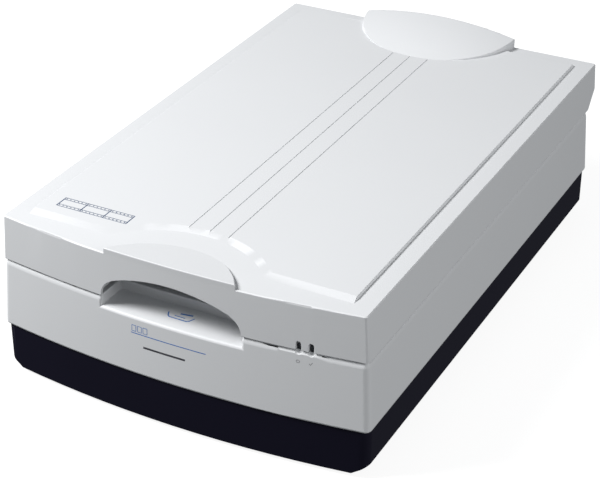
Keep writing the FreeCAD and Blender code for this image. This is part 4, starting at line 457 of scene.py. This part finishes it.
NODE_FINISH = {
    "calibration_strip": "strip", "platen_glass": "glass", "case_screws": "steel", "guide_rod": "steel_y",
    "support_rail": "zinc", "scan_motor": "can", "motor_bracket": "zinc", "idler_bracket": "grey",
    "idler_spring": "steel", "main_board": "board", "board_chips": "chip", "power_supply": "zinc",
    "connector_plate": "zinc", "power_inlet": "gloss_black", "usb_socket": "steel",
    "firewire_sockets": "steel", "adapter_socket": "steel", "switch_frame": "gloss_black",
    "light_board": "board", "light_pipes": "pipe", "hinge_sockets": "grey", "head_frame": "black",
    "head_cover": "black", "lamp_reflector": "mirror", "lamps": "lamp", "optics_brackets": "black",
    "first_mirror": "mirror", "second_mirror": "mirror", "lens_barrel": "black", "lens_holder": "grey",
    "sensor_board": "board", "rod_bushes": "brass",
    "slide_shoe": "acetal", "belt_clamp": "grey", "motor_pinion": "brass", "belt_gear": "acetal",
    "idler_pulley": "acetal", "power_rocker": "gloss_black", "transport_lock": "grey", "hinge_posts": "grey",
    "hinge_pins": "steel", "adapter_window": "opal", "adapter_rod": "steel_y", "lid_screws": "steel",
    "hinge_leaves": "zinc", "adapter_motor": "can", "adapter_head": "black", "adapter_lamp": "lamp",
    "adapter_pulley": "acetal", "adapter_idler": "acetal", "rubber_feet": "rubber", "drive_belt": "rubber",
    "adapter_belt": "rubber", "lid_tray": "tray", "lid_cover": "shell", "upper_housing": "shell",
    "lower_housing": "tub", "white_mat": "foam",
}


def finish_nodes():
    """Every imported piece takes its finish."""
    for node, finish in NODE_FINISH.items():
        data = NODES[node].data
        data.materials.clear()
        data.materials.append(FINISHES[finish])


# ---------------------------------------------------------------- moulded shells

def add_shells():
    """The three housings, the lid's tray and the feet with their moulded edge rounds."""
    for node, name, edge, broad, body, finish, slot in (
            ("lid_cover", "lid_shell", 0.8 * MM, 0.8 * MM, "lid", "shell", "shell_plastic"),
            ("upper_housing", "case_shell", 0.6 * MM, 2.4 * MM, "base", "shell", "shell_plastic"),
            ("lower_housing", "case_tub", 0.6 * MM, 0.6 * MM, "base", "tub", "tub_plastic"),
            ("lid_tray", "lid_lining", 0.4 * MM, 0.4 * MM, "lid", "tray", "grey_plastic"),
            ("rubber_feet", "foot_pads", 1.0 * MM, 1.0 * MM, "base", "rubber", "rubber")):
        shell = rounded_shell(node, name, edge, broad)
        shell.data.materials.append(FINISHES[finish])
        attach(shell, body)


# ---------------------------------------------------------------- prints

INK_SUNK, INK_HEIGHT = 0.03 * MM, 0.05 * MM


def hit(node, start, way):
    """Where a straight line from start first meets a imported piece."""
    work = bmesh.new()
    work.from_mesh(NODES[node].data)
    spot = BVHTree.FromBMesh(work).ray_cast(Vector(start), Vector(way))[0]
    work.free()
    return np.array(spot)


def on_top(node, x, y, above=0.5):
    """Places a print on a flat face that may slope, whose rise comes from three of its points."""
    reach = 4 * MM
    levels = [hit(node, (x + aside, y + ahead, above), (0, 0, -1))[2]
              for aside, ahead in ((0, 0), (reach, 0), (0, reach))]
    rise_x, rise_y = (levels[1] - levels[0]) / reach, (levels[2] - levels[0]) / reach
    return lambda across, along, height: (
        across, along, levels[0] + rise_x * (across - x) + rise_y * (along - y) + height)


def on_front(x, z):
    """Places a print on the case's bowed, leaning front: Y grows with the square of X, and evenly with Z.
    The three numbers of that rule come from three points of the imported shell."""
    span, drop = 40 * MM, 12 * MM
    middle = hit("upper_housing", (x, -1, z), (0, 1, 0))[1]
    side = hit("upper_housing", (x + span, -1, z), (0, 1, 0))[1]
    lower = hit("upper_housing", (x, -1, z - drop), (0, 1, 0))[1]
    bow = (side - middle) / ((x + span) ** 2 - x ** 2)
    lean = (middle - lower) / drop
    return lambda across, up, height: (
        across, middle + bow * (across ** 2 - x ** 2) + lean * (up - z) - height, up)


def stroke(across, along, width, place):
    """A line of ink: a flat rectangle carried along the path, square to it, a little proud of the face."""
    across, along = np.asarray(across, float), np.asarray(along, float)
    run_x, run_y = np.gradient(across), np.gradient(along)
    length = np.hypot(run_x, run_y)
    side_x, side_y = -run_y / length * width / 2, run_x / length * width / 2
    sides = np.array((1, -1, -1, 1))[None, :]
    heights = np.broadcast_to(np.array((-INK_SUNK, -INK_SUNK, INK_HEIGHT, INK_HEIGHT)), (len(across), 4))
    edges = place(across[:, None] + side_x[:, None] * sides,
                  along[:, None] + side_y[:, None] * sides, heights)
    return closed(surface("stroke", *np.broadcast_arrays(*edges), around=True))


def bar(x, y, place, steps=2):
    """A filled rectangle of ink from x[0] to x[1] and from y[0] to y[1]."""
    across = np.linspace(x[0], x[1], steps)
    return stroke(across, np.full(steps, (y[0] + y[1]) / 2), y[1] - y[0], place)


def arc(centre, radius, start, end, width, place, steps=24):
    """Part of a ring of ink, between two angles in degrees."""
    turn = np.radians(np.linspace(start, end, steps))
    return stroke(centre[0] + radius * np.cos(turn), centre[1] + radius * np.sin(turn), width, place)


def finished_print(name, strokes, ink, body):
    mark = joined(name, strokes)
    mark.data.materials.append(FINISHES[ink])
    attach(mark, body)


def add_film_mark():
    """A strip of film on the lid's left: two rails with perforations, and three frames between them."""
    x, y = (-151 * MM, -75 * MM), (-245 * MM, -229 * MM)
    place = on_top("lid_cover", x[0], y[0])
    rail, thin = 3.4 * MM, 0.7 * MM
    strokes = [bar(x, (line - thin / 2, line + thin / 2), place)
               for line in (y[0], y[0] + rail, y[1] - rail, y[1])]
    for share in (0, 1 / 3, 2 / 3, 1):
        middle = x[0] + share * (x[1] - x[0])
        strokes.append(stroke((middle, middle), (y[0], y[1]), thin * 1.6, place))
    hole, count = 1.3 * MM, 18
    for line in (y[0] + rail / 2, y[1] - rail / 2):
        for middle in x[0] + (np.arange(count) + 0.5) * (x[1] - x[0]) / count:
            strokes.append(bar((middle - hole / 2, middle + hole / 2),
                               (line - hole / 2, line + hole / 2), place))
    finished_print("film_mark", strokes, "slate_ink", "lid")


def add_shelf_mark():
    """A sheet that slips into a tray, on the shelf of the finger recess."""
    middle, thick = -281 * MM, 1.2 * MM
    place = on_top("upper_housing", 0, middle, 0.119)
    half, depth, lean = 11 * MM, 7 * MM, 2.5 * MM
    across = np.array((-half - lean, -half, -half + 2 * MM, half - 2 * MM, half, half + lean))
    along = middle + np.array((depth, 1.5 * MM, 0, 0, 1.5 * MM, depth))
    strokes = [stroke(across, along, thick, place),
               bar((-half / 2, half / 2), (middle + 3.4 * MM, middle + 4.4 * MM), place),
               stroke((-2 * MM, half - 1 * MM), (middle + 8.5 * MM, middle + 10.5 * MM), thick * 1.6, place)]
    finished_print("shelf_mark", strokes, "blue_ink", "base")


def add_front_rules():
    """A plain blue rule under a row of sheet outlines, and a short dark rule below it."""
    x, level = (-40 * MM, 38 * MM), 94.5 * MM
    place = on_front(0.0, level)
    rule, thin = 0.8 * MM, 0.5 * MM
    blue = [bar(x, (level - rule / 2, level + rule / 2), place, 24)]
    tall, wide = 6 * MM, 4.3 * MM
    for corner in (x[0] + 1 * MM, x[0] + 7 * MM, x[0] + 13 * MM):
        low = level + 2 * MM
        across = corner + np.array((0, wide, wide, 0, 0))
        up = low + np.array((0, 0, tall, tall, 0))
        blue += [stroke(across[step:step + 2], up[step:step + 2], thin, place) for step in range(4)]
    finished_print("front_rule", blue, "blue_ink", "base")
    dark = [bar((-27 * MM, 17 * MM), (level - 13.5 * MM, level - 11.5 * MM), place, 16)]
    finished_print("front_bar", dark, "dark_ink", "base")


def add_light_marks():
    """A power sign and a tick under the two indicators."""
    pipes = corners("light_pipes")
    half_pipe = 2 * MM
    first, second = pipes[0][0] + half_pipe, pipes[1][0] - half_pipe
    level, size, thin = 111 * MM, 1.5 * MM, 0.35 * MM
    place = on_front(first, level)
    power = [arc((first, level), size, -240, 60, thin, place),
             stroke((first, first), (level, level + size * 1.25), thin, place)]
    finished_print("power_mark", power, "dark_ink", "base")
    place = on_front(second, level)
    tick = [stroke((second - size, second - size / 4), (level, level - size), thin, place),
            stroke((second - size / 4, second + size * 1.1), (level - size, level + size), thin, place)]
    finished_print("ready_mark", tick, "dark_ink", "base")


# ---------------------------------------------------------------- belts, foam mat and screws

def add_toothed_belt(node, name, body):
    """A toothed belt in place of a plain loop.  Its line is two straights and two half circles; the inner
    face steps between the thickness at a tooth and between teeth, four samples to each pitch."""
    pitch, at_tooth, between = 2.5 * MM, 1.15 * MM, 0.65 * MM
    low, high = corners(node)
    outer = (high[0] - low[0]) / 2
    middle, front, straight = (low[0] + high[0]) / 2, low[1] + outer, high[1] - low[1] - 2 * outer
    bend = math.pi * outer
    count = int((2 * straight + 2 * bend) / pitch)
    step = np.arange(4 * count)
    way = (step + 0.5) * (2 * straight + 2 * bend) / (4 * count)
    rear_turn = np.clip((way - straight) / outer, 0, math.pi)
    front_turn = np.clip((way - 2 * straight - bend) / outer, 0, math.pi)
    turn = rear_turn + front_turn
    run = np.clip(way, 0, straight) - np.clip(way - straight - bend, 0, straight)
    tooth = np.where(step % 4 < 2, at_tooth, between)
    depth = np.stack((np.zeros_like(tooth), tooth, tooth, np.zeros_like(tooth)), axis=1)
    radius = outer - depth
    x = middle + radius * np.cos(turn)[:, None]
    y = front + run[:, None] + radius * np.sin(turn)[:, None]
    z = np.broadcast_to(np.array((low[2], low[2], high[2], high[2])), x.shape)
    belt = closed(surface(name, x, y, z, around=True, along=True))
    belt.data.materials.append(FINISHES["rubber"])
    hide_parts(node)
    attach(belt, body)


def add_foam_mat():
    """The document mat: a rounded rectangle carried up a soft-edged section, with a slightly hollow face.
    inset is how far each ring lies inside the outline, and level its height over the mat's lowest face."""
    low, high = corners("white_mat")
    middle, half, tall = (low + high) / 2, (high - low) / 2, high[2] - low[2]
    soft, corner, steps = 1.6 * MM, 6 * MM, 96
    turn = (np.arange(steps) + 0.5) * 2 * math.pi / steps
    edge = np.linspace(0, math.pi / 2, 7)
    inset = np.concatenate(((60 * MM, 18 * MM), soft * (1 - np.sin(edge)), (0.0,), (0.0, 18 * MM)))
    level = np.concatenate(((0.25 * MM, 0.1 * MM), soft * (1 - np.cos(edge)), (tall * 0.6,), (tall, tall)))
    reach = half[:2] - corner
    bend, beyond = corner - np.minimum(inset, corner)[:, None], np.maximum(inset - corner, 0)[:, None]
    x, y = (middle[axis] + np.sign(way) * (reach[axis] - beyond) + bend * way
            for axis, way in enumerate((np.cos(turn), np.sin(turn))))
    z = np.broadcast_to((low[2] + level)[:, None], x.shape)
    mat = closed(surface("foam_mat", x, y, z, around=True), 40)
    mat.data.materials.append(FINISHES["foam"])
    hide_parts("white_mat")
    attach(mat, "lid")


def pan_screw(x, y, low, seat, high, head, shank):
    """One screw, head down: a turned profile whose face has a cross recess, deepest at the middle and
    fading out towards the rim."""
    share = np.array((0.02, 0.12, 0.22, 0.34, 0.46, 0.58, 0.72, 0.86, 0.96, 1.0))
    crown = (seat - low) * 0.35 * (1 - np.sqrt(np.maximum(1 - share ** 2, 0)))
    radius = np.concatenate((share * head, (head, shank, shank, shank * 0.3)))
    level = np.concatenate((low + crown, (seat, seat, high - shank, high)))
    turn = np.arange(40) * 2 * math.pi / 40
    blades = np.minimum(np.abs(np.sin(turn)), np.abs(np.cos(turn)))[None, :] * radius[:, None]
    fade = np.clip(1 - radius / (head * 0.66), 0, 1)[:, None]
    on_face = (np.arange(len(radius)) < len(share))[:, None]
    recess = np.where(on_face & (blades < head * 0.11), 1.0 * MM * np.sqrt(fade), 0)
    z = np.broadcast_to(level[:, None], recess.shape) + recess
    return closed(surface("screw", x + radius[:, None] * np.cos(turn), y + radius[:, None] * np.sin(turn),
                          z, around=True))


def add_screws():
    """Six pan-head screws in place of each plain group, at the places that its box gives."""
    head, shank, head_tall = 3.8 * MM, 1.7 * MM, 2.4 * MM
    for node, name, body in (("case_screws", "case_pan_screws", "base"),
                             ("lid_screws", "lid_pan_screws", "lid")):
        low, high = corners(node)
        reach = high[:2] - head
        screws = [pan_screw(side * reach[0], along * reach[1], low[2], low[2] + head_tall, high[2],
                            head, shank) for side in (-1, 1) for along in (-1, 0, 1)]
        group = joined(name, screws)
        group.data.materials.append(FINISHES["steel"])
        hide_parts(node)
        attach(group, body)


add_camera()
add_surroundings()
finish_nodes()
add_shells()
add_film_mark()
add_shelf_mark()
add_front_rules()
add_light_marks()
add_toothed_belt("drive_belt", "toothed_belt", "base")
add_toothed_belt("adapter_belt", "adapter_toothed_belt", "lid")
add_foam_mat()
add_screws()
